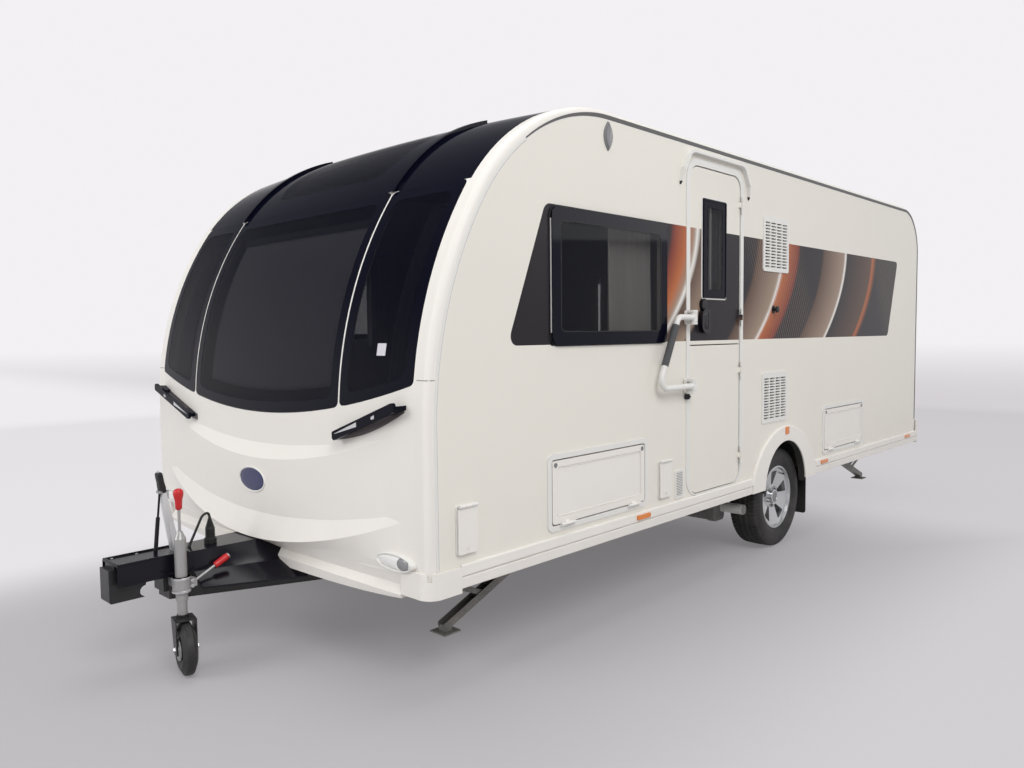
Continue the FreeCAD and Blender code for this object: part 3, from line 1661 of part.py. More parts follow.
def make_coupling():
    """Ball coupling: cast head with the ball's seat open below, and notched cheeks."""
    y0, y1 = nose_y, nose_y + head_length
    half = head_width / 2
    ball_y = nose_y + ball_setback
    high = cover_top - cover_wall - seat_gap
    waist = ball_height + head_wall
    corners = [
        (y0, head_bottom, head_wall / 2), (y0 + ball_setback * 2, head_bottom, head_wall / 2),
        (y0 + ball_setback * 2, waist, head_wall), (y1 - head_wall, waist, 0),
        (y1 - head_wall, head_bottom, 0), (y1, head_bottom, 0), (y1, high, 0),
        (y0, high, head_wall)
    ]
    head = plate(corners, in_yz(-half), V(head_width, 0, 0))
    head = head.cut(
        block(
            -half - overrun, half + overrun, y0 - overrun,
            nose_y + cover_front_setback - seat_gap, cover_top - head_wall, cover_top
        )
    )
    socket = ball_radius + ball_gap
    mouth = rod(V(0, ball_y, head_bottom - overrun), V(0, ball_y, ball_height), socket)
    dome = Part.makeSphere(socket, V(0, ball_y, ball_height))
    notch_y, notch_z = ball_y + ball_setback, head_bottom + notch_radius
    notch = rod(V(-half * 2, notch_y, notch_z), V(half * 2, notch_y, notch_z), notch_radius)
    save("coupling", head.cut([mouth, dome, notch]))


def lever_foot():
    """Where the hand brake lever leaves the drawbar cover."""
    return V(0, nose_y + lever_foot_behind, lever_foot_height)


def under_cover_top():
    """Cutter that gives what stands on the cover a flat foot just over it."""
    level = cover_top + seat_gap
    return block(-cover_half, cover_half, nose_y, front_y, level - overrun * 2, level)


def make_hand_brake():
    """Pressed hand brake lever leaning forward, its grip, and the gas strut beside it."""
    foot = lever_foot()
    lean = math.radians(90 - lever_lean)
    way = V(0, -math.sin(lean), math.cos(lean))
    half = lever_width / 2
    side = V(0, math.cos(lean), math.sin(lean)) * (lever_thick / 2)
    base = foot - way * (lever_thick / 2)
    top = foot + way * lever_length
    points = [base - side, base + side, top + side / 2, top - side / 2]
    web = Part.Face(
        Part.makePolygon([p + V(-half, 0, 0) for p in points + points[:1]])
    ).extrude(V(lever_width, 0, 0))
    grip_points = [
        top - side * 1.5, top + side * 1.5, top + way * grip_length + side,
        top + way * grip_length - side
    ]
    grip = Part.Face(
        Part.makePolygon([p + V(-grip_wide / 2, 0, 0) for p in grip_points + grip_points[:1]])
    ).extrude(V(grip_wide, 0, 0))
    strut_foot = V(0, foot.y - strut_ahead, foot.z - strut_radius)
    strut_top = top - side - V(0, strut_radius, 0)
    body_end = strut_foot + (strut_top - strut_foot) * strut_body_share
    body = rod(strut_foot, body_end, strut_radius)
    stem = rod(body_end, strut_top, strut_radius / 2)
    eye = rod(strut_top - V(half, 0, 0), strut_top + V(half, 0, 0), strut_radius)
    save("hand_brake", joined([web, grip, body, stem, eye]).cut(under_cover_top()))


def make_plug():
    """Towing plug parked upright on the cover, and its lead back down to the cover."""
    y = nose_y + plug_behind
    z0 = cover_top + seat_gap
    holder = rod(V(0, y, z0), V(0, y, z0 + plug_height / 3), plug_radius + lead_radius)
    body = rod(V(0, y, z0 + plug_height / 3), V(0, y, z0 + plug_height), plug_radius)
    neck = Part.makeCone(plug_radius, lead_radius * 2, plug_neck, V(0, y, z0 + plug_height))
    start = V(0, y, z0 + plug_height + plug_neck - lead_radius)
    peak = start + V(0, 0, lead_bend * 2)
    end = V(0, y - lead_reach, z0)
    down = V(0, peak.y - lead_reach / 3, peak.z - lead_bend / 2)
    route = [start, peak, down, end]
    lead = bent_tube(route, lead_radius, lead_bend)
    print("towing lead: bend radii", [lead_bend] * (len(route) - 2), "mm")
    save("towing_lead", joined([holder, body, neck, lead]).cut(under_cover_top()))


def jockey_axis():
    """Foot of the jockey wheel's upright axis."""
    return V(jockey_x, nose_y + jockey_behind, 0)


def swivelled(shape):
    """A piece of the castor turned about the upright axis to where it was left standing."""
    turned = shape.copy()
    turned.rotate(jockey_axis(), V(0, 0, 1), jockey_turn)
    return turned


def jockey_fork_top():
    """Underside of the fork's crown, just over the tyre."""
    return jockey_wheel_diameter + moving_gap


def make_jockey_tube():
    """Outer tube with its winding handle, in the clamp on the drawbar."""
    axis = jockey_axis()
    x, y = axis.x, axis.y
    outer = rod(axis + V(0, 0, jockey_bottom), axis + V(0, 0, jockey_top), jockey_outer)
    cap = Part.makeCone(jockey_outer, jockey_inner / 2, crank_rise, axis + V(0, 0, jockey_top))
    bore = rod(
        axis + V(0, 0, jockey_bottom - overrun), axis + V(0, 0, jockey_top - jockey_inner),
        jockey_inner + jockey_fit
    )
    z0, z1 = clamp_bottom, clamp_bottom + clamp_height
    band = rod(axis + V(0, 0, z0), axis + V(0, 0, z1), clamp_radius)
    half = clamp_radius / 2
    arm_y = max(y - half, nose_y + head_length + seat_gap)
    arm_top = cover_step - cover_wall * 2
    arm = block(drawbar_gap, x, arm_y, y + half, drawbar_top + seat_gap, arm_top)
    lug = block(x - half, x + half, y, y + clamp_lug, z0 + clamp_height / 4, z1 - clamp_height / 4)
    root = V(x, y + clamp_lug - crank_radius, (z0 + z1) / 2)
    tip = root + V(0, clamp_lever, clamp_lever / 2)
    bar = rod(root, tip, crank_radius)
    knob = rod(tip, tip + V(0, clamp_grip, clamp_grip / 2), crank_radius * 2)
    top = axis + V(0, 0, jockey_top)
    post = rod(top, top + V(0, 0, crank_length), crank_radius)
    grip = rod(top + V(0, 0, crank_length), top + V(0, 0, crank_length + crank_knob_length), crank_knob)
    save("jockey_tube", joined([outer, cap, band, arm, lug, bar, knob, post, grip]).cut(bore))


def make_jockey_stem():
    """Sliding stem, and the fork that swivels under it."""
    axis = jockey_axis()
    x, y = axis.x, axis.y
    fork_top = jockey_fork_top()
    stem_low = fork_top + fork_sheet + fork_collar_height
    stem_top = jockey_top - jockey_inner - jockey_lift - moving_gap
    save(
        "jockey_stem",
        rod(axis + V(0, 0, stem_low), axis + V(0, 0, stem_top), jockey_inner)
    )
    wheel_y, hub_z = y + jockey_trail, jockey_wheel_diameter / 2
    half = fork_wide / 2 + moving_gap
    crown = block(
        x - half - fork_sheet, x + half + fork_sheet, y - fork_collar, wheel_y + fork_collar,
        fork_top, fork_top + fork_sheet
    )
    collar = rod(axis + V(0, 0, fork_top), axis + V(0, 0, stem_low - seat_gap), fork_collar)
    cheeks = []
    for side in (-1, 1):
        outline = [
            (y - fork_collar, fork_top + fork_sheet, 0),
            (wheel_y - fork_collar, hub_z - fork_collar, fork_collar / 3),
            (wheel_y + fork_collar, hub_z - fork_collar, fork_collar / 3),
            (wheel_y + fork_collar, fork_top + fork_sheet, 0)
        ]
        cheeks.append(plate(outline, in_yz(x + side * half), V(side * fork_sheet, 0, 0)))
    spindle = rod(
        V(x - half - fork_sheet, wheel_y, hub_z), V(x + half + fork_sheet, wheel_y, hub_z),
        jockey_axle
    )
    save("jockey_fork", swivelled(joined([crown, collar, spindle] + cheeks)))


def make_jockey_wheel():
    """Dished wheel with a rounded tyre, turning on the fork's spindle."""
    axis = jockey_axis()
    x, wheel_y, r = axis.x, axis.y + jockey_trail, jockey_wheel_diameter / 2
    w, bore = jockey_wheel_width / 2, jockey_axle + jockey_bore

    def place(u, radius):
        return V(x + u, wheel_y, r + radius)

    outline = [
        (-w, bore, 0), (w, bore, 0), (w, jockey_hub, 0), (w * 2 / 3, jockey_hub * 2, w / 6),
        (w, r - w, w / 3), (w / 2, r, w / 3), (-w / 2, r, w / 3), (-w, r - w, w / 3),
        (-w * 2 / 3, jockey_hub * 2, w / 6), (-w, jockey_hub, 0)
    ]
    face = Part.Face(rounded_wire(outline, place))
    save("jockey_wheel", swivelled(face.revolve(V(x, wheel_y, r), V(1, 0, 0), 360)))


def steadies():
    """The four corner steadies: name, x, pivot y, and the way along Y that the leg points."""
    front = front_y + steady_front_setback
    rear = axle_y + steady_rear_behind
    return [
        ("front_right", steady_x, front, -1), ("front_left", -steady_x, front, -1),
        ("rear_right", steady_x, rear, 1), ("rear_left", -steady_x, rear, 1)
    ]


def make_steady(name, x, pivot_y, way):
    """Pressed leg with its foot, and the pair of straps from its middle up to the screw."""
    z = steady_pivot_height
    cos, sin = math.cos(steady_angle), math.sin(steady_angle)

    def spot(along, up):
        """A point along the leg, which slopes down by its angle, and up from it."""
        return pivot_y + way * (along * cos + up * sin), z - along * sin + up * cos

    def cross_bore(y, height):
        return rod(
            V(x - steady_depth, y, height), V(x + steady_depth, y, height),
            steady_pin + hinge_play
        )

    half = steady_depth / 2
    t = steady_sheet
    eye, tip = steady_eye, steady_tip / 2
    corners = [
        spot(-eye, -eye) + (eye / 2,), spot(steady_length, -tip) + (tip / 2,),
        spot(steady_length, tip) + (tip / 2,), spot(-eye, eye) + (eye / 2,)
    ]
    cheeks = [
        plate(corners, in_yz(x - half), V(t, 0, 0)),
        plate(corners, in_yz(x + half - t), V(t, 0, 0))
    ]
    low = [
        spot(eye * 2, -eye), spot(steady_length, -tip), spot(steady_length, t - tip),
        spot(eye * 2, t - eye)
    ]
    web = plate([p + (0,) for p in low], in_yz(x - half), V(steady_depth, 0, 0))
    foot_y, foot_z = spot(steady_length - tip, -tip / 2)
    reach = steady_foot / 2
    foot = block(
        x - reach, x + reach, foot_y - reach, foot_y + reach, foot_z - tip - steady_foot_plate,
        foot_z - tip
    )
    stalk = block(
        x - half, x + half, foot_y - tip, foot_y + tip, foot_z - tip - steady_foot_plate,
        foot_z + tip / 2
    )
    mid_y, mid_z = spot(steady_length / 2, 0)
    leg = joined(cheeks + [web, foot, stalk]).cut([cross_bore(pivot_y, z), cross_bore(mid_y, mid_z)])
    save("steady_" + name, leg)
    inner = half - t - hinge_gap - steady_strut_sheet
    strap = steady_strap(mid_y, mid_z, pivot_y + way * steady_length * cos, z)
    straps = [
        plate(strap, in_yz(x + side * inner), V(side * steady_strut_sheet, 0, 0))
        for side in (-1, 1)
    ]
    pin = rod(V(x - half, mid_y, mid_z), V(x + half, mid_y, mid_z), steady_pin)
    save("steady_strut_" + name, joined(straps + [pin]))
    return steady_mount(x, pivot_y, way)


def steady_strap(y0, z0, y1, z1):
    """Corners of a round-ended strap between two pins."""
    half = steady_strut_wide / 2
    run = math.hypot(y1 - y0, z1 - z0)
    ay, az = (y1 - y0) / run * half, (z1 - z0) / run * half
    ring = [
        (y0 - ay - az, z0 - az + ay), (y1 + ay - az, z1 + az + ay), (y1 + ay + az, z1 + az - ay),
        (y0 - ay + az, z0 - az - ay)
    ]
    return [p + (half - seat_gap,) for p in ring]


def steady_mount(x, pivot_y, way):
    """Beam under the floor, with the pivot pin between two cheeks and the screw along it."""
    z = steady_pivot_height
    top = floor_bottom - seat_gap
    half = steady_depth / 2 + hinge_gap
    wide = steady_beam_width / 2
    eye, r = steady_eye, steady_screw
    far = pivot_y + way * steady_screw_length
    beam_z = top - steady_beam_height
    beam = block(x - wide, x + wide, pivot_y - way * eye * 2, far, beam_z, top)
    cheeks = []
    for side in (-1, 1):
        x0 = x + side * half
        cheeks.append(
            block(x0, x0 + side * steady_cheek, pivot_y - way * eye, pivot_y + way * eye, z - eye, beam_z)
        )
    pin = rod(V(x - half, pivot_y, z), V(x + half, pivot_y, z), steady_pin)
    end_plate = block(x - r * 2, x + r * 2, far - way * steady_cheek * 2, far, z - r * 2, beam_z)
    screw = rod(V(x, pivot_y, z), V(x, far, z), r)
    return joined([beam, pin, end_plate, screw] + cheeks)


def make_steadies():
    """Four legs and their struts, with the mounts in one node."""
    mounts = [make_steady(*item) for item in steadies()]
    save("steady_mounts", Part.makeCompound(mounts))


def make_movers():
    """Caravan mover ahead of each wheel: motor, roller and the arm up to the chassis."""
    y, z = axle_y - mover_ahead, mover_height
    inner = wheel_outer_x - tyre_width
    r, m = mover_roller_radius, mover_motor_radius
    back = y - m
    roller = rod(V(inner - arm_thickness, y, z + r), V(inner + mover_roller_length, y, z + r), r)
    x0 = rail_x + chassis_rail_width + seat_gap
    motor_x = inner - mover_motor_length
    motor = rod(V(motor_x, back, z), V(inner, back, z), m)
    gear = plate(
        frame_corners(y - m * 2, y + r, z - m, z + r * 2, r), in_yz(inner - arm_thickness),
        V(arm_thickness, 0, 0)
    )
    hanger = block(x0, (motor_x + inner) / 2, y - m * 2, back, z, z + mover_arm)
    riser = block(x0, x0 + mover_arm, y - m * 2, back, z, floor_bottom - seat_gap)
    mover = joined([roller, motor, gear, hanger, riser])
    save("movers", Part.makeCompound([mover, mirrored(mover)]))


def make_mudflaps():
    """Rubber flap behind each wheel, hung from the floor."""
    y = axle_y + mudflap_behind
    far = wall_inner_x - seat_gap
    flap = block(far - mudflap_wide, far, y, y + mudflap_thick, mudflap_bottom, floor_bottom - seat_gap)
    corner = []
    for edge in flap.Edges:
        box = edge.BoundBox
        across = max(box.XLength, box.ZLength) < seat_gap
        if across and box.ZMax < mudflap_bottom + seat_gap:
            corner.append(edge)
    flap = flap.makeFillet(mudflap_thick * 2, corner)
    save("mudflaps", Part.makeCompound([flap, mirrored(flap)]))


def make_body():
    """Everything fixed to the cabin shell."""
    make_front()
    make_roof_and_rear()
    make_rooflights()
    make_corner_rails()
    make_walls()
    make_side_windows()
    make_door_surround()
    make_floor()
    make_skirts()
    make_arches()
    make_front_panel()
    make_bumpers()
    make_rear_lamps()
    make_vents()
    make_markers()
    make_grab_handles()


def make_moving():
    """Doors, lids, hand rail, steadies, jockey wheel and road wheels."""
    make_door()
    make_hand_rail()
    make_hatches()
    make_steadies()
    make_jockey_tube()
    make_jockey_stem()
    make_jockey_wheel()
    make_wheels()


def make_underside():
    """Chassis, axle, drawbar and what sits on it."""
    make_axle()
    make_chassis()
    make_drawbar()
    make_cover()
    make_coupling()
    make_hand_brake()
    make_plug()
    make_movers()
    make_mudflaps()


make_body()
make_moving()
make_underside()
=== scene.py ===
# %% [markdown]
# # A touring caravan, dressed for its portrait
# The CAD model is loaded as a fixed frame: its panels, doors, wheels and legs already have their
# true shapes and places, in metres. This lesson adds what the eye looks for on the real thing:
# paint, tinted acrylic, tyre tread, rubber seals, lamps, curtains and the soft studio light.

# %% Load the frame
import math

import bmesh
import bpy
import numpy as np
from mathutils import Matrix, Vector


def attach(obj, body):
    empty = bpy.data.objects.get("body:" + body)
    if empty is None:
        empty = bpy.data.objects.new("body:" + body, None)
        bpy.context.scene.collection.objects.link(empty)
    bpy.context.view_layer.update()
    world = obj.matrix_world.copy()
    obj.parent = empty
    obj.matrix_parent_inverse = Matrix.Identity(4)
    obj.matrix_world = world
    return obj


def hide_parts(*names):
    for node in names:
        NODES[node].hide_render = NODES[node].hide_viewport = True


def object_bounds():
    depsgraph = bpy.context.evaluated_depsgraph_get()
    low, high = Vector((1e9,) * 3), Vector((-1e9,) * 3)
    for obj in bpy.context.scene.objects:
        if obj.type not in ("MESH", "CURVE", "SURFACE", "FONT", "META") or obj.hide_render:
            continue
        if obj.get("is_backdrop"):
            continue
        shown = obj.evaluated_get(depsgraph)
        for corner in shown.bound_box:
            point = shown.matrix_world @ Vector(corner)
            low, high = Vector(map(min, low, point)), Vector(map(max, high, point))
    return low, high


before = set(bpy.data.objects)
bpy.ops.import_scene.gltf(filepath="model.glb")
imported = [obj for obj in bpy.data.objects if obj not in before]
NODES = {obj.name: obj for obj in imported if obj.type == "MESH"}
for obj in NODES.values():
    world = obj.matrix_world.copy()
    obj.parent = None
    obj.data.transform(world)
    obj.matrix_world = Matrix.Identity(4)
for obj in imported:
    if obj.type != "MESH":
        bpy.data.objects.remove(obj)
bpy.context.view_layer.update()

# %% [markdown]
# ## The camera
# The photograph was taken from ahead of the door side, at chest height. Its place and its
# turn about each axis were worked out from straight edges of the body. A camera looks along its
# own -Z with +Y up, so three perpendicular directions, written as columns, are its orientation.

# %% Camera at the photograph's viewpoint
CAMERA_PLACE = (3.3628, -4.3023, 1.3834)
CAMERA_YAW = -0.758
CAMERA_PITCH = -0.063
CAMERA_ROLL = -0.011
FOCAL_PIXELS = 799.55
IMAGE_WIDTH = 1024
SENSOR = 36.0


def camera_matrix(place, yaw, pitch, roll):
    """Columns: right, up, minus forward, and the place; yaw turns from +Y, pitch looks up."""
    forward = Vector((math.sin(yaw) * math.cos(pitch), math.cos(yaw) * math.cos(pitch), math.sin(pitch)))
    right = Vector((math.cos(yaw), -math.sin(yaw), 0))
    up = right.cross(forward)
    right_rolled = right * math.cos(roll) + up * math.sin(roll)
    up_rolled = up * math.cos(roll) - right * math.sin(roll)
    turn = Matrix((right_rolled, up_rolled, -forward)).transposed().to_4x4()
    return Matrix.Translation(place) @ turn


camera = bpy.data.objects.new("camera", bpy.data.cameras.new("camera"))
camera.data.sensor_width = SENSOR
camera.data.lens = FOCAL_PIXELS * SENSOR / IMAGE_WIDTH
camera.data.clip_end = 100
camera.matrix_world = camera_matrix(CAMERA_PLACE, CAMERA_YAW, CAMERA_PITCH, CAMERA_ROLL)
bpy.context.scene.collection.objects.link(camera)
bpy.context.scene.camera = camera
bpy.context.scene.view_settings.view_transform = "Standard"
print("lens", round(camera.data.lens, 2))

# %% [markdown]
# ## Surfaces from two numbers
# Every new piece is a grid of points: a function of two parameters, worked out with numpy for all
# points at once. A seal is a few outlines of the window joined in a ring, a knob is a profile
# turned about an axis, a curtain is a wave along one direction. One helper turns such a grid
# into a mesh, and the others only fill the grid.

# %% Grid to mesh
TURN = 2 * np.pi
SMOOTH_ANGLE = math.radians(35)


def grid_faces(rows, columns, closed_rows, closed_columns):
    """Quads between neighbours of a rows x columns grid; a closed direction ends at its start."""
    r = np.arange(rows if closed_rows else rows - 1)
    c = np.arange(columns if closed_columns else columns - 1)
    r0, c0 = np.meshgrid(r, c, indexing="ij")
    r1, c1 = (r0 + 1) % rows, (c0 + 1) % columns
    corners = [r0 * columns + c0, r1 * columns + c0, r1 * columns + c1, r0 * columns + c1]
    return np.stack(corners, axis=-1).reshape(-1, 4)


def new_mesh(name, points, faces):
    """Mesh object from an (n, 3) array of points and a list of faces, smooth but for sharp edges."""
    mesh = bpy.data.meshes.new(name)
    mesh.from_pydata(points.tolist(), [], faces if isinstance(faces, list) else faces.tolist())
    mesh.validate()
    mesh.shade_smooth()
    mesh.set_sharp_from_angle(angle=SMOOTH_ANGLE)
    piece = bpy.data.objects.new(name, mesh)
    bpy.context.scene.collection.objects.link(piece)
    return piece


def outward(piece):
    """Turns every face of a closed mesh to point out of its solid, and joins doubled points."""
    work = bmesh.new()
    work.from_mesh(piece.data)
    bmesh.ops.remove_doubles(work, verts=work.verts, dist=1e-6)
    bmesh.ops.recalc_face_normals(work, faces=work.faces)
    work.to_mesh(piece.data)
    work.free()
    piece.data.shade_smooth()
    piece.data.set_sharp_from_angle(angle=SMOOTH_ANGLE)
    return piece


def grid_piece(name, grids, closed_rows=True, caps=False):
    """One piece from several (rows, columns, 3) grids, columns closed; caps close the two end rows."""
    points, faces, start = [], [], 0
    for grid in grids:
        rows, columns, _ = grid.shape
        points.append(grid.reshape(-1, 3))
        faces += (grid_faces(rows, columns, closed_rows, True) + start).tolist()
        if caps:
            faces.append([start + c for c in range(columns)])
            faces.append([start + (rows - 1) * columns + c for c in range(columns)][::-1])
        start += rows * columns
    return outward(new_mesh(name, np.concatenate(points), faces))


print("grid helpers ready")

# %% Rounded outlines, turned profiles and mirrored pairs
def rounded_rectangle(low_u, high_u, low_v, high_v, radius, per_corner=8):
    """Outline points and outward normals: four quarter circles, centres inset by the radius."""
    centres = [(high_u, high_v, 0), (low_u, high_v, 1), (low_u, low_v, 2), (high_u, low_v, 3)]
    points, normals = [], []
    for u, v, quarter in centres:
        angle = (quarter + np.linspace(0, 1, per_corner)) * np.pi / 2
        normal = np.stack([np.cos(angle), np.sin(angle)], axis=1)
        inset = np.array([u - math.copysign(radius, u - (low_u + high_u) / 2),
                          v - math.copysign(radius, v - (low_v + high_v) / 2)])
        points.append(inset + normal * radius)
        normals.append(normal)
    return np.concatenate(points), np.concatenate(normals)


def turned(profile, centre, axis, around=32):
    """Grid of a profile (along, radius) turned about an axis through the centre."""
    axis = np.array(axis, float) / np.linalg.norm(axis)
    side = np.cross(axis, [0.0, 0.0, 1.0] if abs(axis[2]) < 0.9 else [1.0, 0.0, 0.0])
    side /= np.linalg.norm(side)
    other = np.cross(axis, side)
    along, radius = np.array(profile, float).T
    angle = np.arange(around) * TURN / around
    spoke = np.cos(angle)[:, None] * side + np.sin(angle)[:, None] * other
    return np.array(centre) + along[:, None, None] * axis + radius[:, None, None] * spoke[None]


def both_sides(grid):
    """The grid and its mirror image on the other side of the caravan."""
    return [grid, grid * np.array([-1.0, 1.0, 1.0])]


print("profile helpers ready")

# %% [markdown]
# ## Finishes
# Four effects come back in many finishes, so each is a node group: a fine **grain** for moulded
# plastic, the faint **ripple** of sprayed or rolled sheet, the **road dust** that gathers low on
# the body, and the **spangle** of zinc. A group only puts out colours, masks and heights; the
# shader stays in each material, and values that don't vary are set on its own sockets.

# %% Node helpers
def new_group(name, inputs, outputs):
    """Empty shader node group: inputs are (name, type, default), outputs are (name, type)."""
    group = bpy.data.node_groups.new(name, "ShaderNodeTree")
    for socket, kind, value in inputs:
        made = group.interface.new_socket(socket, in_out="INPUT", socket_type="NodeSocket" + kind)
        made.default_value = value
    for socket, kind in outputs:
        group.interface.new_socket(socket, in_out="OUTPUT", socket_type="NodeSocket" + kind)
    nodes = group.nodes
    return group, nodes.new("NodeGroupInput"), nodes.new("NodeGroupOutput")


def feed(tree, socket, value):
    """Links a socket to the input, or sets the input's own value; an RGB triple gets alpha 1."""
    if isinstance(value, bpy.types.NodeSocket):
        tree.links.new(value, socket)
    else:
        socket.default_value = (*value, 1) if isinstance(value, tuple) else value


def math_node(tree, operation, *values, clamp=False):
    """Math node whose values are numbers or sockets; returns its output socket."""
    node = tree.nodes.new("ShaderNodeMath")
    node.operation, node.use_clamp = operation, clamp
    for socket, value in zip(node.inputs, values):
        feed(tree, socket, value)
    return node.outputs[0]


def times(tree, a, b):
    """Product of two numbers or sockets."""
    return math_node(tree, "MULTIPLY", a, b)


def minus(tree, a, b):
    """Difference of two numbers or sockets."""
    return math_node(tree, "SUBTRACT", a, b)


def mix_colours(tree, factor, a, b, blend="MIX"):
    """Mix of two colours, each a socket or an RGB triple; returns the colour socket."""
    node = tree.nodes.new("ShaderNodeMix")
    node.data_type, node.blend_type = "RGBA", blend
    for index, value in ((0, factor), (6, a), (7, b)):
        feed(tree, node.inputs[index], value)
    return node.outputs[2]


def object_point(tree):
    """The object coordinate, which is the place in the caravan's own frame, in metres."""
    return tree.nodes.new("ShaderNodeTexCoord").outputs["Object"]


def parts_of(tree, vector):
    """The three parts, X, Y and Z, of a vector socket."""
    node = tree.nodes.new("ShaderNodeSeparateXYZ")
    tree.links.new(vector, node.inputs[0])
    return node.outputs


def noise(tree, point, scale, detail=3.0, roughness=0.5):
    """Noise value between 0 and 1 at a number of waves per metre."""
    node = tree.nodes.new("ShaderNodeTexNoise")
    tree.links.new(point, node.inputs["Vector"])
    for socket, value in (("Scale", scale), ("Detail", detail), ("Roughness", roughness)):
        feed(tree, node.inputs[socket], value)
    return node.outputs[0]


def ramp(tree, value, stops, interpolation="LINEAR"):
    """Colour ramp through (position, RGB) stops; returns the colour socket."""
    node = tree.nodes.new("ShaderNodeValToRGB")
    node.color_ramp.interpolation = interpolation
    elements = node.color_ramp.elements
    elements[0].position, elements[-1].position = stops[0][0], stops[-1][0]
    elements[0].color, elements[-1].color = (*stops[0][1], 1), (*stops[-1][1], 1)
    for position, colour in stops[1:-1]:
        elements.new(position).color = (*colour, 1)
    tree.links.new(value, node.inputs[0])
    return node.outputs[0]


def stepped(tree, value, low, high):
    """Smooth 0 to 1 as the value goes from low to high."""
    node = tree.nodes.new("ShaderNodeMapRange")
    node.interpolation_type = "SMOOTHSTEP"
    tree.links.new(value, node.inputs["Value"])
    node.inputs["From Min"].default_value, node.inputs["From Max"].default_value = low, high
    return node.outputs["Result"]


print("node helpers ready")

# %% The four shared effects
def grain_group():
    """Grain: fine noise as height, and a slight lightening of the colour where it stands up."""
    group, given, out = new_group(
        "Grain", [
            ("Scale", "Float", 900.0), ("Colour", "Color", (0.5, 0.5, 0.5, 1)),
            ("Tint", "Float", 0.15)
        ],
        [("Colour", "Color"), ("Height", "Float")])
    height = noise(group, object_point(group), given.outputs["Scale"], 2.0)
    lift = times(group, minus(group, height, 0.5), given.outputs["Tint"])
    factor = math_node(group, "ADD", lift, 0.5, clamp=True)
    darker = mix_colours(group, 1.0, given.outputs["Colour"], (0.7, 0.7, 0.7), "MULTIPLY")
    lighter = mix_colours(group, 1.0, given.outputs["Colour"], (1.25, 1.25, 1.25), "MULTIPLY")
    group.links.new(mix_colours(group, factor, darker, lighter), out.inputs["Colour"])
    group.links.new(height, out.inputs["Height"])
    return group


def ripple_group():
    """Ripple: the long soft waves of sheet on a frame, with the fine peel of the paint on top."""
    group, _, out = new_group("Ripple", [], [("Height", "Float"), ("Patch", "Float")])
    point = object_point(group)
    peel = noise(group, point, 260.0, 1.0)
    wave = noise(group, point, 2.2, 1.0)
    height = math_node(group, "MULTIPLY_ADD", peel, 0.03, wave)
    group.links.new(height, out.inputs["Height"])
    group.links.new(noise(group, point, 1.1, 2.0), out.inputs["Patch"])
    return group


def dust_group():
    """Road dust: strongest low down, broken up by noise; gives the dusted colour and a mask."""
    group, given, out = new_group(
        "RoadDust", [("Colour", "Color", (0.8, 0.8, 0.8, 1)), ("Amount", "Float", 0.3)],
        [("Colour", "Color"), ("Mask", "Float")])
    point = object_point(group)
    low = minus(group, 1.0, stepped(group, parts_of(group, point)["Z"], 0.1, 0.95))
    broken = stepped(group, noise(group, point, 5.0, 6.0, 0.65), 0.3, 0.75)
    mask = times(group, times(group, low, broken), given.outputs["Amount"])
    dusted = mix_colours(group, mask, given.outputs["Colour"], (0.42, 0.38, 0.33))
    group.links.new(dusted, out.inputs["Colour"])
    group.links.new(mask, out.inputs["Mask"])
    return group


def spangle_group():
    """Spangle: flat crystal cells of zinc, each with its own grey and its own shine."""
    group, given, out = new_group(
        "Spangle", [("Colour", "Color", (0.5, 0.5, 0.5, 1))], [("Colour", "Color"), ("Shine", "Float")])
    cells = group.nodes.new("ShaderNodeTexVoronoi")
    cells.inputs["Scale"].default_value = 240.0
    group.links.new(object_point(group), cells.inputs["Vector"])
    grey = group.nodes.new("ShaderNodeRGBToBW")
    group.links.new(cells.outputs["Color"], grey.inputs[0])
    darker = mix_colours(group, 1.0, given.outputs["Colour"], (0.80, 0.80, 0.80), "MULTIPLY")
    lighter = mix_colours(group, 1.0, given.outputs["Colour"], (1.14, 1.14, 1.14), "MULTIPLY")
    group.links.new(mix_colours(group, grey.outputs[0], darker, lighter), out.inputs["Colour"])
    group.links.new(stepped(group, grey.outputs[0], 0.0, 1.0), out.inputs["Shine"])
    return group


GRAIN, RIPPLE, DUST, SPANGLE = grain_group(), ripple_group(), dust_group(), spangle_group()
print("groups", [g.name for g in bpy.data.node_groups])

# %% One finish at a time
FINISHES = {}


def finish(name, colour, roughness, metallic=0.0, coat=0.0, specular=0.5, alpha=1.0):
    """Material with a Principled shader; constants go on its own sockets. Returns (tree, shader)."""
    material = bpy.data.materials.new(name)
    material.use_nodes = True
    tree = material.node_tree
    shader = tree.nodes["Principled BSDF"]
    shader.inputs["Base Color"].default_value = (*colour, 1)
    shader.inputs["Roughness"].default_value = roughness
    shader.inputs["Metallic"].default_value = metallic
    shader.inputs["Coat Weight"].default_value = coat
    shader.inputs["Coat Roughness"].default_value = 0.04
    shader.inputs["Specular IOR Level"].default_value = specular
    shader.inputs["Alpha"].default_value = alpha
    material.diffuse_color = (*colour, 1)
    FINISHES[name] = material
    return tree, shader


def placed(tree, group, **values):
    """A shared effect in a material, with its own values; returns the group node."""
    node = tree.nodes.new("ShaderNodeGroup")
    node.node_tree = group
    for socket, value in values.items():
        feed(tree, node.inputs[socket], value)
    return node


def bump(tree, shader, height, strength, distance):
    """Height to the shader's normal; the distance is in metres."""
    node = tree.nodes.new("ShaderNodeBump")
    node.inputs["Strength"].default_value = strength
    node.inputs["Distance"].default_value = distance
    tree.links.new(height, node.inputs["Height"])
    tree.links.new(node.outputs[0], shader.inputs["Normal"])


def rough_by(tree, shader, value, low, high):
    """Roughness from low to high as the value goes from 0 to 1."""
    tree.links.new(math_node(tree, "MULTIPLY_ADD", value, high - low, low), shader.inputs["Roughness"])


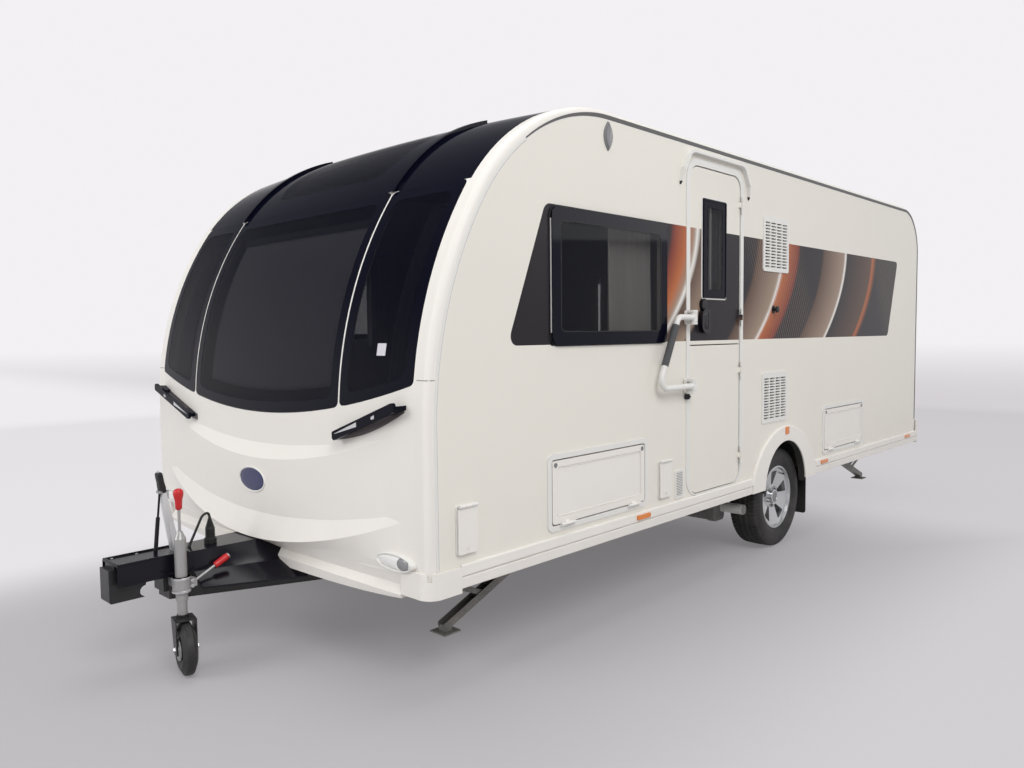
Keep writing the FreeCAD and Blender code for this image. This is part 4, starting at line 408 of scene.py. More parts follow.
def plastic(name, colour, roughness, scale=900.0, strength=0.15, dust=0.0, specular=0.5):
    """Moulded plastic or rubber: a grain in colour and height, with road dust low down."""
    tree, shader = finish(name, colour, roughness, specular=specular)
    grain = placed(tree, GRAIN, Colour=colour, Scale=scale)
    dusted = placed(tree, DUST, Colour=grain.outputs["Colour"], Amount=dust)
    tree.links.new(dusted.outputs["Colour"], shader.inputs["Base Color"])
    rough_by(tree, shader, dusted.outputs["Mask"], roughness, min(1.0, roughness + 0.5))
    bump(tree, shader, grain.outputs["Height"], strength, 0.0004)
    return tree, shader


def zinc(name, colour, metallic, low, high):
    """Galvanised or cast metal: spangle colour and shine, with dust."""
    tree, shader = finish(name, colour, low, metallic=metallic)
    cells = placed(tree, SPANGLE, Colour=colour)
    dusted = placed(tree, DUST, Colour=cells.outputs["Colour"], Amount=0.35 if metallic else 0.05)
    tree.links.new(dusted.outputs["Colour"], shader.inputs["Base Color"])
    rough_by(tree, shader, cells.outputs["Shine"], high, low)
    bump(tree, shader, noise(tree, object_point(tree), 400.0), 0.12, 0.0004)
    return tree, shader


print("finish helpers ready")

# %% [markdown]
# ## Painted sheet, with a band of slanting sails
# The side walls are cream-white sheet. A broad band in charcoal, copper and brown runs along
# them at window height. Its design here is our own: bowed, slanting stripes like sails, some
# filled with hair lines, drawn from the place along and up the wall, so it stays put from any
# angle and continues across the door. A slanting edge at each end closes it.

# %% Band design
BAND_LOW, BAND_HIGH = 1.334, 1.926
BAND_MIDDLE = (BAND_LOW + BAND_HIGH) / 2
CHARCOAL = (0.021, 0.018, 0.022)
BROWN = (0.105, 0.062, 0.045)
COPPER = (0.46, 0.135, 0.045)
EMBER = (0.20, 0.035, 0.022)
SAND = (0.34, 0.25, 0.19)
CHALK = (0.83, 0.80, 0.76)
SAIL_STOPS = [
    (0.0, CHARCOAL), (0.243, CHARCOAL), (0.25, EMBER), (0.275, COPPER), (0.292, SAND), (0.296, CHALK),
    (0.300, CHALK), (0.302, BROWN), (0.345, SAND), (0.350, CHARCOAL), (0.44, CHARCOAL),
    (0.445, BROWN), (0.51, SAND), (0.514, CHALK), (0.5185, CHALK), (0.520, COPPER), (0.56, EMBER),
    (0.565, CHARCOAL), (0.64, CHARCOAL), (0.645, BROWN), (0.72, SAND), (0.724, CHALK),
    (0.728, CHALK), (0.730, CHARCOAL), (0.83, BROWN), (0.835, COPPER), (0.852, CHARCOAL), (1.0, CHARCOAL),
]
BAND_START, BAND_LENGTH = -2.05, 4.75
PLAIN_END = -1.0
SAIL_SLANT, SAIL_BOW = -0.62, 0.9
HAIR_LEAN, HAIR_WAVES, PATCH_WAVES = 0.55, 210.0, 3.1
FRONT_Y, FRONT_LEAN, REAR_Y, REAR_LEAN = -1.876, -0.40, 2.482, -0.34
SHEET_FACE_X = 1.1535


def rounded_corner(tree, a, b, radius):
    """Mask inside a corner: both distances positive, and within the radius of its centre."""
    over_a = math_node(tree, "MAXIMUM", minus(tree, radius, a), 0.0)
    over_b = math_node(tree, "MAXIMUM", minus(tree, radius, b), 0.0)
    squares = math_node(
        tree, "ADD", math_node(tree, "POWER", over_a, 2.0), math_node(tree, "POWER", over_b, 2.0)
    )
    reach = math_node(tree, "SQRT", squares)
    return minus(tree, 1.0, stepped(tree, reach, radius - 5e-4, radius + 5e-4))


def band_group():
    """Band: colour of the slanting sails, and the mask of the band's own outline."""
    group, _, out = new_group("BandDesign", [], [("Colour", "Color"), ("Mask", "Float")])
    x, y, z = parts_of(group, object_point(group))
    up = minus(group, z, BAND_MIDDLE)
    bow = times(group, times(group, up, up), SAIL_BOW)
    slant = math_node(group, "MULTIPLY_ADD", up, SAIL_SLANT, math_node(group, "ADD", y, bow))
    along = math_node(group, "DIVIDE", minus(group, slant, BAND_START), BAND_LENGTH)
    sails = ramp(group, along, SAIL_STOPS)
    lean = math_node(group, "MULTIPLY_ADD", up, HAIR_LEAN, y)
    hair = math_node(group, "SINE", times(group, lean, HAIR_WAVES))
    hair = stepped(group, hair, 0.72, 0.97)
    broad = stepped(group, math_node(group, "SINE", times(group, lean, PATCH_WAVES)), 0.1, 0.8)
    broad = times(group, broad, stepped(group, y, PLAIN_END, PLAIN_END + 0.2))
    lined = times(group, times(group, hair, broad), 0.45)
    group.links.new(mix_colours(group, lined, sails, SAND), out.inputs["Colour"])
    front = minus(group, math_node(group, "MULTIPLY_ADD", up, FRONT_LEAN, y), FRONT_Y)
    rear = minus(group, REAR_Y, math_node(group, "MULTIPLY_ADD", up, REAR_LEAN, y))
    floor = minus(group, z, BAND_LOW)
    roof = minus(group, BAND_HIGH, z)
    inside = 1.0
    for edge, level, radius in (
        (front, floor, 0.06), (front, roof, 0.03), (rear, floor, 0.03), (rear, roof, 0.04)
    ):
        inside = times(group, inside, rounded_corner(group, edge, level, radius))
    outer = stepped(group, math_node(group, "ABSOLUTE", x), SHEET_FACE_X, SHEET_FACE_X + 0.0005)
    inside = times(group, inside, outer)
    group.links.new(inside, out.inputs["Mask"])
    return group


BAND = band_group()
BODY_CREAM = (0.820, 0.790, 0.722)


def painted_sheet(name, colour, band):
    """Sheet paint: ripple, a little patchiness and dust, with the band where it has one."""
    tree, shader = finish(name, colour, 0.30, coat=0.03, specular=0.13)
    ripple = placed(tree, RIPPLE)
    warm = mix_colours(tree, ripple.outputs["Patch"], colour, tuple(c * 0.965 for c in colour))
    if band:
        design = placed(tree, BAND)
        warm = mix_colours(tree, design.outputs["Mask"], warm, design.outputs["Colour"])
    dusted = placed(tree, DUST, Colour=warm, Amount=0.12)
    tree.links.new(dusted.outputs["Colour"], shader.inputs["Base Color"])
    rough_by(tree, shader, dusted.outputs["Mask"], 0.32, 0.8)
    bump(tree, shader, ripple.outputs["Height"], 0.10, 0.004)


painted_sheet("body_paint", BODY_CREAM, True)
painted_sheet("moulding_paint", (0.845, 0.815, 0.770), False)
print("band stops", len(SAIL_STOPS))

# %% [markdown]
# ## The other finishes
# Acrylic panes let a little light through, so the curtains behind them show faintly. Dark
# plastics differ mostly in roughness and grain. Metals are zinc-coated, cast or lacquered.

# %% Finishes of the parts
def drawn_sheet(name, colour, roughness, waves, strength, deep, **rest):
    """Vacuum-drawn sheet: glossy, with slow waves as height; gives (tree, shader) back."""
    tree, shader = finish(name, colour, roughness, **rest)
    bump(tree, shader, noise(tree, object_point(tree), waves, 1.0), strength, deep)
    return tree, shader


PANE_TINT = (0.003, 0.0035, 0.010)
drawn_sheet("acrylic", (0.004, 0.005, 0.011), 0.035, 2.5, 0.04, 0.004, specular=0.14, alpha=0.40)
drawn_sheet("front_acrylic", PANE_TINT, 0.03, 1.8, 0.05, 0.005, specular=0.09, alpha=0.60)
drawn_sheet("gloss_black", PANE_TINT, 0.05, 1.8, 0.05, 0.005, specular=0.09)
plastic("white_plastic", (0.80, 0.79, 0.76), 0.38, 700.0, 0.08, 0.1)
plastic("black_cover", (0.005, 0.0045, 0.009), 0.20, 260.0, 0.15, 0.01, 0.28)
plastic("black_rubber", (0.013, 0.013, 0.014), 0.5, 900.0, 0.2, 0.05, 0.4)
plastic("tyre_rubber", (0.016, 0.0155, 0.0165), 0.62, 500.0, 0.2, 0.12, 0.4)
plastic("inner_dark", (0.020, 0.019, 0.018), 0.85, 120.0, 0.3, 0.1)
plastic("floor_board", (0.035, 0.033, 0.032), 0.85, 90.0, 0.4, 0.2)
plastic("grey_plastic", (0.22, 0.22, 0.225), 0.5, 800.0, 0.12, 0.1)
plastic("awning_strip", (0.105, 0.102, 0.102), 0.5, 800.0, 0.1)
# This recess colour is painted shade, used for the plates behind the grab bars.
plastic("recess_shade", (0.085, 0.070, 0.073), 0.45, 800.0, 0.1)
plastic("sticker", (0.66, 0.64, 0.68), 0.5, 800.0, 0.05)
plastic("foam_grip", (0.085, 0.087, 0.090), 0.82, 1500.0, 0.5)
plastic("red_plastic", (0.55, 0.015, 0.018), 0.32, 900.0, 0.1)
plastic("badge_blue", (0.016, 0.020, 0.10), 0.18, 900.0, 0.03)
zinc("galvanised", (0.36, 0.365, 0.37), 0.75, 0.34, 0.62)
zinc("dull_zinc", (0.16, 0.155, 0.15), 0.55, 0.40, 0.65)
zinc("mover_grey", (0.16, 0.16, 0.165), 0.3, 0.40, 0.65)
zinc("cast_black", (0.010, 0.010, 0.012), 0.0, 0.30, 0.45)
zinc("bright_steel", (0.66, 0.66, 0.67), 0.80, 0.26, 0.40)
print("finishes", sorted(FINISHES))

# %% Alloy, lenses and curtain cloth
tree, shader = finish("alloy", (0.60, 0.61, 0.62), 0.28, metallic=0.85, coat=0.3)
flake = noise(tree, object_point(tree), 1400.0, 1.0)
tree.links.new(
    mix_colours(tree, flake, (0.50, 0.51, 0.52), (0.70, 0.71, 0.72)), shader.inputs["Base Color"]
)
rough_by(tree, shader, flake, 0.22, 0.36)
bump(tree, shader, flake, 0.05, 0.0002)


def drawn_steel(name, colour, metallic, roughness):
    """Smooth metal with faint streaks along its height, as drawn tube and pressed sheet have."""
    tree, shader = finish(name, colour, roughness, metallic=metallic)
    stretch = tree.nodes.new("ShaderNodeVectorMath")
    stretch.operation = "MULTIPLY"
    stretch.inputs[1].default_value = (1.0, 1.0, 0.04)
    tree.links.new(object_point(tree), stretch.inputs[0])
    streak = noise(tree, stretch.outputs[0], 260.0, 2.0)
    light, dark = (tuple(c * share for c in colour) for share in (1.12, 0.88))
    tree.links.new(mix_colours(tree, streak, dark, light), shader.inputs["Base Color"])
    rough_by(tree, shader, streak, roughness - 0.06, roughness + 0.10)


drawn_steel("smooth_zinc", (0.40, 0.395, 0.39), 0.45, 0.34)
drawn_steel("pressed_steel", (0.70, 0.70, 0.71), 0.40, 0.30)


def lens(name, colour, pitch, shade=0.7, alpha=1.0):
    """Moulded lens: small flutes as height, and painted shade that darkens the colour between them."""
    tree, shader = finish(name, colour, 0.08, coat=0.6, alpha=alpha)
    x, y, _ = parts_of(tree, object_point(tree))
    across = math_node(tree, "ADD", x, y)
    flute = math_node(tree, "SINE", times(tree, across, TURN / pitch))
    flute = math_node(tree, "MULTIPLY_ADD", flute, 0.5, 0.5)
    # Painted shade: the colour is darker between the flutes.
    deep = tuple(c * shade for c in colour)
    tree.links.new(mix_colours(tree, flute, deep, colour), shader.inputs["Base Color"])
    bump(tree, shader, flute, 0.3 * (1.2 - shade), 0.001)


lens("amber_lens", (0.86, 0.24, 0.015), 0.006)
lens("red_lens", (0.42, 0.010, 0.012), 0.007)
lens("clear_lens", (0.86, 0.85, 0.83), 0.012, 0.94)
lens("smoke_lens", (0.30, 0.30, 0.31), 0.006)

tree, shader = drawn_sheet("smoked_lid", (0.40, 0.41, 0.42), 0.12, 6.0, 0.1, 0.003, coat=0.3)
patches = noise(tree, object_point(tree), 3.0)
shade = mix_colours(tree, patches, (0.33, 0.34, 0.35), (0.47, 0.48, 0.49))
tree.links.new(shade, shader.inputs["Base Color"])


def cloth(name, colour, threads):
    """Woven cloth: crossing threads as height, lighter where a thread comes up."""
    tree, shader = finish(name, colour, 0.9, specular=0.2)
    x, y, z = parts_of(tree, object_point(tree))
    level = math_node(tree, "ADD", x, y)
    weft = math_node(tree, "SINE", times(tree, level, threads))
    warp = math_node(tree, "SINE", times(tree, z, threads))
    weave = math_node(tree, "MULTIPLY_ADD", times(tree, weft, warp), 0.5, 0.5)
    tree.links.new(
        mix_colours(tree, weave, tuple(c * 0.85 for c in colour), colour),
        shader.inputs["Base Color"]
    )
    shader.inputs["Sheen Weight"].default_value = 0.2
    bump(tree, shader, weave, 0.4, 0.0005)


cloth("curtain_cloth", (0.86, 0.83, 0.78), 2400.0)
cloth("blind_cloth", (0.86, 0.85, 0.90), 3000.0)
cloth("dark_cloth", (0.20, 0.195, 0.20), 2400.0)
print("finishes", len(FINISHES))

# %% Paint the CAD nodes
NODE_FINISH = {
    "body_paint": ["wall_right", "wall_left", "roof_panel", "rear_panel", "door_lower", "door_upper"],
    "moulding_paint": ["front_panel", "front_surround", "corner_rails", "skirts", "arch_trims", "bumpers",
                       "locker_door_front", "locker_door_rear", "flap_front", "flap_rear"],
    "gloss_black": ["front_cap", "grab_handles"],
    "front_acrylic": ["front_windows"],
    "acrylic": ["side_windows", "door_window"],
    "galvanised": ["chassis", "axle"],
    "dull_zinc": ["steady_mounts"],
    "smooth_zinc": ["jockey_tube", "jockey_stem"],
    "mover_grey": ["movers"],
    "cast_black": ["coupling", "drawbar", "jockey_fork"],
    "black_cover": ["drawbar_cover", "door_latch", "towing_lead"],
    "bright_steel": ["hand_brake"],
    "black_rubber": ["mudflaps", "jockey_wheel"],
    "tyre_rubber": ["tyre_right", "tyre_left"],
    "alloy": ["rim_right", "rim_left"],
    "white_plastic": ["fridge_vents", "hand_rail", "hand_rail_feet", "rooflight_frames",
                      "door_surround", "hatch_frames"],
    "amber_lens": ["side_markers"],
    "red_lens": ["rear_lamps"],
    "smoked_lid": ["rooflight_lid_front", "rooflight_lid_rear"],
    "floor_board": ["floor_panel"],
}
for corner in ("front_right", "front_left", "rear_right", "rear_left"):
    NODE_FINISH["dull_zinc"] += ["steady_" + corner, "steady_strut_" + corner]
for name, nodes in NODE_FINISH.items():
    for node in nodes:
        mesh = NODES[node].data
        mesh.materials.clear()
        mesh.materials.append(FINISHES[name])
bare = sorted(set(NODES) - {n for nodes in NODE_FINISH.values() for n in nodes})
print("nodes without a finish", bare)

# %% [markdown]
# ## Wheels
# A road tyre is one closed profile turned about the axle. The tread is worked out in the same
# grid: the radius drops in three grooves that run round the tyre and in short cross cuts that
# repeat round it. A Boolean cut for every groove would be slow and leave ragged faces.

# %% Road tyres
WHEEL_CENTRE = np.array([0.0, 0.5605, 0.317])
TYRE_OUTER_X, TYRE_WIDTH, TYRE_RADIUS = 1.110, 0.195, 0.317
BEAD_RADIUS = 0.2003
GROOVES = (-0.034, 0.0, 0.034)
GROOVE_HALF, GROOVE_DEEP = 0.005, 0.007
PITCHES, AROUND = 72, 432


def tyre_profile():
    """(x, radius) round the section: inner bead, sidewall, tread, sidewall, outer bead."""
    wall = np.linspace(0, 1, 14)
    side_x = 0.0825 + 0.015 * np.sin(np.pi * wall) ** 0.7 + 0.004 * wall
    side_r = BEAD_RADIUS + (0.3005 - BEAD_RADIUS) * wall
    side_x[4:6] += 0.0015
    side_x[9:10] += 0.001
    shoulder = np.linspace(0, np.pi / 2, 7)[1:]
    turn_x = 0.0665 + 0.020 * np.cos(shoulder)
    turn_r = 0.3005 + 0.0145 * np.sin(shoulder)
    tread = np.linspace(0.064, -0.064, 57)
    crown = TYRE_RADIUS - 0.002 * (tread / 0.064) ** 2
    half_x = np.concatenate([side_x, turn_x])
    half_r = np.concatenate([side_r, turn_r])
    x = np.concatenate([half_x, tread, -half_x[::-1]])
    return x, np.concatenate([half_r, crown, half_r[::-1]])


def road_tyre(name, side, body, node):
    """Radius as profile less grooves: round grooves by x, cross cuts by the angle and |x|."""
    x, base = tyre_profile()
    angle = np.arange(AROUND) * TURN / AROUND
    radius = np.repeat(base[None, :], AROUND, axis=0)
    on_tread = base > 0.298
    for place in GROOVES:
        dip = np.clip(1.6 - np.abs(x - place) / GROOVE_HALF, 0, 1)
        radius -= GROOVE_DEEP * dip * on_tread
    lean = np.abs(x) * 14.0
    wave = np.cos(PITCHES * angle[:, None] + lean[None, :] * np.sign(x)[None, :])
    cut = np.clip((wave - 0.45) * 3, 0, 1) * np.clip((np.abs(x) - 0.043) / 0.004, 0, 1) * on_tread
    radius -= 0.005 * cut
    centre_x = side * (TYRE_OUTER_X - TYRE_WIDTH / 2)
    points = np.stack([centre_x + side * np.broadcast_to(x, radius.shape),
                       WHEEL_CENTRE[1] + radius * np.cos(angle)[:, None],
                       WHEEL_CENTRE[2] + radius * np.sin(angle)[:, None]], axis=-1)
    tyre = grid_piece(name, [points])
    dress(tyre, "tyre_rubber", body)
    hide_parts(node)


def dress(piece, finish_name, body):
    """Gives a piece its finish and the body it rides on."""
    piece.data.materials.append(FINISHES[finish_name])
    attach(piece, body)
    return piece


def solid_piece(name, grids, finish_name, body="caravan"):
    """Dressed piece of solid grids: each row of points is a closed outline, both ends are capped."""
    return dress(grid_piece(name, grids, False, True), finish_name, body)


def ring_piece(name, grids, finish_name, body="caravan"):
    """Dressed piece of ring grids, which close on themselves along rows and columns."""
    return dress(grid_piece(name, grids), finish_name, body)


road_tyre("road_tyre_right", 1, "wheel_right", "tyre_right")
road_tyre("road_tyre_left", -1, "wheel_left", "tyre_left")
print("tyre pitches", PITCHES)

# %% Wheel bolts, cap and valve
HUB_FACE_X, CAP_FACE_X = 1.060, 1.080
BOLT_CIRCLE, BOLT_RADIUS, BOLT_COUNT = 0.060, 0.0095, 5


def wheel_details(side, hand):
    """Five six-sided bolt heads round the hub, a domed cap, a ring on it, and a rubber valve."""
    axis = (side, 0, 0)
    bolts, body = [], "wheel_" + hand
    for i in range(BOLT_COUNT):
        angle = (i + 0.5) * TURN / BOLT_COUNT
        around = BOLT_CIRCLE * math.sin(angle), BOLT_CIRCLE * math.cos(angle)
        spot = WHEEL_CENTRE + np.array([side * HUB_FACE_X, *around])
        head = [(-0.002, 0.0135), (0.002, 0.0135), (0.0025, BOLT_RADIUS), (0.0125, BOLT_RADIUS),
                (0.015, BOLT_RADIUS * 0.7)]
        bolts.append(turned(head, spot, axis, 6))
    solid_piece("wheel_bolts_" + hand, bolts, "galvanised", body)
    hub = WHEEL_CENTRE + np.array([side * CAP_FACE_X, 0, 0])
    ring = [(-0.002, 0.0445), (0.001, 0.0445), (0.003, 0.042), (0.003, 0.036), (0.0005, 0.034),
            (-0.002, 0.034)]
    ring = turned(ring, hub, axis, 48)
    ring_piece("wheel_cap_ring_" + hand, [ring], "alloy", body)
    dome = [(-0.001, 0.0338), (0.0015, 0.032), (0.003, 0.024), (0.004, 0.012), (0.0042, 0.002)]
    solid_piece("wheel_cap_" + hand, [turned(dome, hub, axis, 48)], "grey_plastic", body)
    angle = 0.5 * TURN / 5
    foot = WHEEL_CENTRE + np.array([side * 1.062, 0.172 * math.sin(angle), 0.172 * math.cos(angle)])
    stem = [(0, 0.0055), (0.012, 0.0045), (0.026, 0.004), (0.027, 0.005), (0.036, 0.0045)]
    stem = turned(stem, foot, (side, 0, -0.15), 12)
    solid_piece("wheel_valve_" + hand, [stem], "black_rubber", body)


wheel_details(1, "right")
wheel_details(-1, "left")
print("wheel details on both sides")

# %% [markdown]
# ## Windows
# Caravan windows are bowed acrylic panes with a black border printed round the edge, which hides
# the seal. The border here is a thin frame on the pane: two rounded outlines at two depths, joined
# to a closed ring. Behind the clear part hang pleated curtains, and blinds stand behind the front.

# %% Rounded outlines and frames between them
def rounded_outline(y0, y1, z0, z1, radius, per_corner=8, per_side=10):
    """Closed outline with points along the sides too: corners of one radius, then each side cut up."""
    corners, _ = rounded_rectangle(y0, y1, z0, z1, radius, per_corner)
    points = []
    for quarter in range(4):
        arc = corners[quarter * per_corner:(quarter + 1) * per_corner]
        following = corners[(quarter + 1) % 4 * per_corner]
        share = np.linspace(0, 1, per_side + 1)[1:-1, None]
        points += [arc, arc[-1] * (1 - share) + following * share]
    return np.concatenate(points)


def on_wall(outline, x):
    """(y, z) outline placed at x on a side wall."""
    return np.column_stack([np.full(len(outline), x), outline])


def grown_on_wall(spec, grow, x):
    """The outline (y0, y1, z0, z1, radius), larger all round by grow, at x on a side wall."""
    y0, y1, z0, z1, radius = spec
    return on_wall(rounded_outline(y0 - grow, y1 + grow, z0 - grow, z1 + grow, radius + grow), x)


def wall_frame(outer, inner, x0, x1, chamfer=0.001):
    """Ring grid between two outlines of (y0, y1, z0, z1, radius), from depth x0 to x1."""
    step = math.copysign(chamfer, x1 - x0)
    rows = ((outer, 0, x0), (outer, 0, x1 - step), (outer, -chamfer, x1),
            (inner, chamfer, x1), (inner, 0, x1 - step), (inner, 0, x0))
    return np.stack([grown_on_wall(*row) for row in rows])


def wall_plate(spec, x0, x1, chamfer=0.001):
    """Solid rounded plate as stacked outlines from depth x0 to x1, to be closed with caps."""
    y0, y1, z0, z1, radius = spec
    c = chamfer
    step = math.copysign(c, x1 - x0)
    small = rounded_outline(y0 + c, y1 - c, z0 + c, z1 - c, max(radius - c, c))
    full = rounded_outline(y0, y1, z0, z1, radius)
    return np.stack([on_wall(full, x0), on_wall(full, x1 - step), on_wall(small, x1)])


def inset(spec, by, radius=None):
    """The same window outline, smaller all round."""
    y0, y1, z0, z1, r = spec
    return (y0 + by, y1 - by, z0 + by, z1 - by, r - by if radius is None else radius)


WALL_X = 1.155
PANE_X = 1.167
LOUNGE = (-1.7305, -0.8445, 1.330, 1.920, 0.045)
KITCHEN = (-0.3595, 0.4005, 1.400, 1.880, 0.045)
BEDROOM = (1.5705, 2.3905, 1.330, 1.890, 0.045)
BORDER = 0.058
SIDE_WINDOWS = [(1, LOUNGE), (-1, LOUNGE), (-1, KITCHEN), (-1, BEDROOM)]


def at_side_windows(outer, inner, x0, x1, chamfer=0.001):
    """The same frame at every side window, between two insets given as (by, radius)."""
    return [wall_frame(inset(window, *outer), inset(window, *inner), side * x0, side * x1, chamfer)
            for side, window in SIDE_WINDOWS]


frames = at_side_windows((0.0012,), (BORDER, 0.03), PANE_X - 0.001, PANE_X + 0.0006, 0.0004)
ring_piece("window_borders", frames, "gloss_black")
seals = at_side_windows((-0.004,), (0.006,), WALL_X - 0.001, WALL_X + 0.0045)
ring_piece("window_seals", seals, "black_rubber")
lines = at_side_windows(
    (BORDER - 0.001, 0.03), (BORDER + 0.0035, 0.027), PANE_X - 0.001, PANE_X + 0.0012, 0.0004
)
ring_piece("window_inner_lines", lines, "black_rubber")
corners = at_side_windows((-0.001, 0.010), (0.012, 0.030), WALL_X - 0.001, WALL_X + 0.0008, 0.0004)
ring_piece("window_backings", corners, "gloss_black")
print("window borders", len(frames))

# %% Door window
DOOR_PANE = (-0.4915, -0.2375, 1.562, 2.090, 0.011)
DOOR_PANE_X = 1.161
outer_trim = wall_frame(
    inset(DOOR_PANE, -0.007, 0.018), inset(DOOR_PANE, 0.002, 0.009), WALL_X - 0.001,
    WALL_X + 0.004
)
ring_piece("door_window_trim", [outer_trim], "white_plastic", "door_upper")
border = wall_frame(
    inset(DOOR_PANE, 0.001), inset(DOOR_PANE, 0.046, 0.012), DOOR_PANE_X - 0.001,
    DOOR_PANE_X + 0.0008, 0.0005
)
ring_piece("door_window_border", [border], "gloss_black", "door_upper")
ridge = wall_frame(
    inset(DOOR_PANE, 0.004, 0.008), inset(DOOR_PANE, 0.012, 0.006), DOOR_PANE_X,
    DOOR_PANE_X + 0.004
)
ring_piece("door_window_ridge", [ridge], "gloss_black", "door_upper")


def pleated(y0, y1, z0, z1, x, pleats, deep, rows=24, per_pleat=10):
    """Hanging cloth: x swings as a wave along y, a little wider and out of step towards the hem."""
    columns = pleats * per_pleat + 1
    along = np.linspace(0, 1, columns)[None, :]
    down = np.linspace(0, 1, rows)[:, None]
    phase = TURN * pleats * along + 0.7 * np.sin(3.1 * along + 2.0 * down)
    swing = deep * (0.75 + 0.25 * down) * np.sin(phase) + deep * 0.25 * np.sin(2.3 * phase + 1.0)
    y = y0 + (y1 - y0) * along + 0.25 * deep * np.cos(phase) * down
    z = np.broadcast_to(z1 + (z0 - z1) * down, swing.shape)
    return np.stack([x + swing, np.broadcast_to(y, swing.shape), z], axis=-1)


def cloth_piece(name, grid, finish_name, body, thickness):
    """Open grid of cloth given its thickness with a Solidify modifier."""
    rows, columns, _ = grid.shape
    piece = new_mesh(name, grid.reshape(-1, 3), grid_faces(rows, columns, False, False))
    solid = piece.modifiers.new("thickness", "SOLIDIFY")
    solid.thickness, solid.offset = thickness, 0
    return dress(piece, finish_name, body)


blind = pleated(-0.362, -0.283, 1.600, 2.052, 1.134, 5, 0.004, 8, 8)
piece = cloth_piece("door_blind", blind, "dark_cloth", "door_upper", 0.001)
strip = wall_plate((-0.384, -0.366, 1.600, 2.052, 0.003), 1.134, 1.142, 0.002)
solid_piece("door_blind_slider", [strip], "white_plastic", "door_upper")
print("door window dressed")

# %% Curtains and blinds behind the side windows
CURTAIN_X, RAIL_BACK_X = 1.082, 1.122
RAIL_LENGTH_OVER, PLEAT_PITCH, CURTAIN_THICK = 0.06, 0.042, 0.0012
rails, number = [], 0
for side, window, bunches in (
        (1, LOUNGE, ((0.02, 0.16), (0.56, 0.98))), (-1, LOUNGE, ((0.02, 0.2), (0.8, 0.98))),
        (-1, BEDROOM, ((0.02, 0.2), (0.8, 0.98)))):
    y0, y1, z0, z1, _ = window
    long_rail = (y0 - RAIL_LENGTH_OVER, y1 + RAIL_LENGTH_OVER, z1 - 0.008, z1 + 0.03, 0.008)
    rails.append(wall_plate(long_rail, side * (CURTAIN_X - 0.018), side * RAIL_BACK_X))
    for low, high in bunches:
        number += 1
        span = y1 - y0
        pleats = max(4, round((high - low) * span / PLEAT_PITCH))
        grid = pleated(y0 + low * span, y0 + high * span, z0 - 0.03, z1 - 0.005, CURTAIN_X, pleats, 0.013)
        grid = grid * np.array([side, 1, 1])
        piece = cloth_piece(
            "curtain_%d" % number, grid, "curtain_cloth", "caravan", CURTAIN_THICK
        )
y0, y1, z0, z1, _ = KITCHEN
short_rail = (y0 - 0.03, y1 + 0.03, z1 - 0.008, z1 + 0.03, 0.008)
rails.append(wall_plate(short_rail, -(CURTAIN_X + 0.014), -RAIL_BACK_X))
solid_piece("curtain_rails", rails, "white_plastic")
print("curtains", number)

# %% [markdown]
# ## The glazed nose
# The nose is two arcs in side view, a long one up to the brow and a short one onto the roof, and
# both bow slightly across the width. One function gives any point of that surface, so the printed
# borders, the blinds and the curtains can all follow it at their own depth.

# %% Points on the nose
NOSE_Y, NOSE_BULGE, NOSE_HALF = -2.4575, 0.036, 1.085
KNEE_Z, KNEE_RADIUS, KNEE_ANGLE = 1.023, 1.67605, math.radians(33.4)
ROOF_EDGE, ROOF_CROWN = 2.387, 0.043
SILL_Z, SILL_RISE, HEADER_Z = 1.040, 0.157, 1.990
PILLAR_X, LINE_HALF = 0.635, 0.003
WINDOW_EDGE = NOSE_HALF - 0.012


def sill(x):
    """Lower edge of the front windows: an arc through the middle and both ends."""
    radius = (WINDOW_EDGE ** 2 + SILL_RISE ** 2) / (2 * SILL_RISE)
    return SILL_Z + radius - np.sqrt(radius ** 2 - x ** 2)


def nose_point(x, z, depth=0.0):
    """Point of the nose at x and height z, moved inwards by a depth along the arc's radius."""
    share = (x / NOSE_HALF) ** 2
    nose, top = NOSE_Y + NOSE_BULGE * share, ROOF_EDGE + ROOF_CROWN * (1 - share)
    turn_z = KNEE_Z + KNEE_RADIUS * math.sin(KNEE_ANGLE)
    turn_y = nose + KNEE_RADIUS * (1 - math.cos(KNEE_ANGLE))
    brow = (top - turn_z) / (1 - math.sin(KNEE_ANGLE))
    low = z <= turn_z
    centre_y = np.where(low, nose + KNEE_RADIUS, turn_y + brow * math.cos(KNEE_ANGLE))
    centre_z = np.where(low, KNEE_Z, top - brow)
    radius = np.where(low, KNEE_RADIUS, brow)
    rise = np.clip((z - centre_z) / radius, -1, 1)
    inner = radius - depth
    return np.stack(
        [x + 0 * z, centre_y - inner * np.sqrt(1 - rise ** 2), centre_z + inner * rise], axis=-1
    )


def pane_outline(x0, x1, by, radius):
    """Outline of a front window, inset: a rounded rectangle whose lower side follows the sill."""
    tall = HEADER_Z - SILL_Z
    flat = rounded_outline(x0 + by, x1 - by, by, tall - by, radius, 8, 24)
    x, up = flat.T
    low = sill(x)
    return x, low + up * (HEADER_Z - low) / tall


def nose_frame(x0, x1, by, wide, radius_out, radius_in, depth0, depth1):
    """Frame on the nose between two insets, from one depth to another (negative is proud)."""
    rows = []
    for inset_by, radius, depth in ((by, radius_out, depth0), (by, radius_out, depth1),
                                    (by + wide, radius_in, depth1), (by + wide, radius_in, depth0)):
        x, z = pane_outline(x0, x1, inset_by, radius)
        rows.append(nose_point(x, z, depth))
    return np.stack(rows)


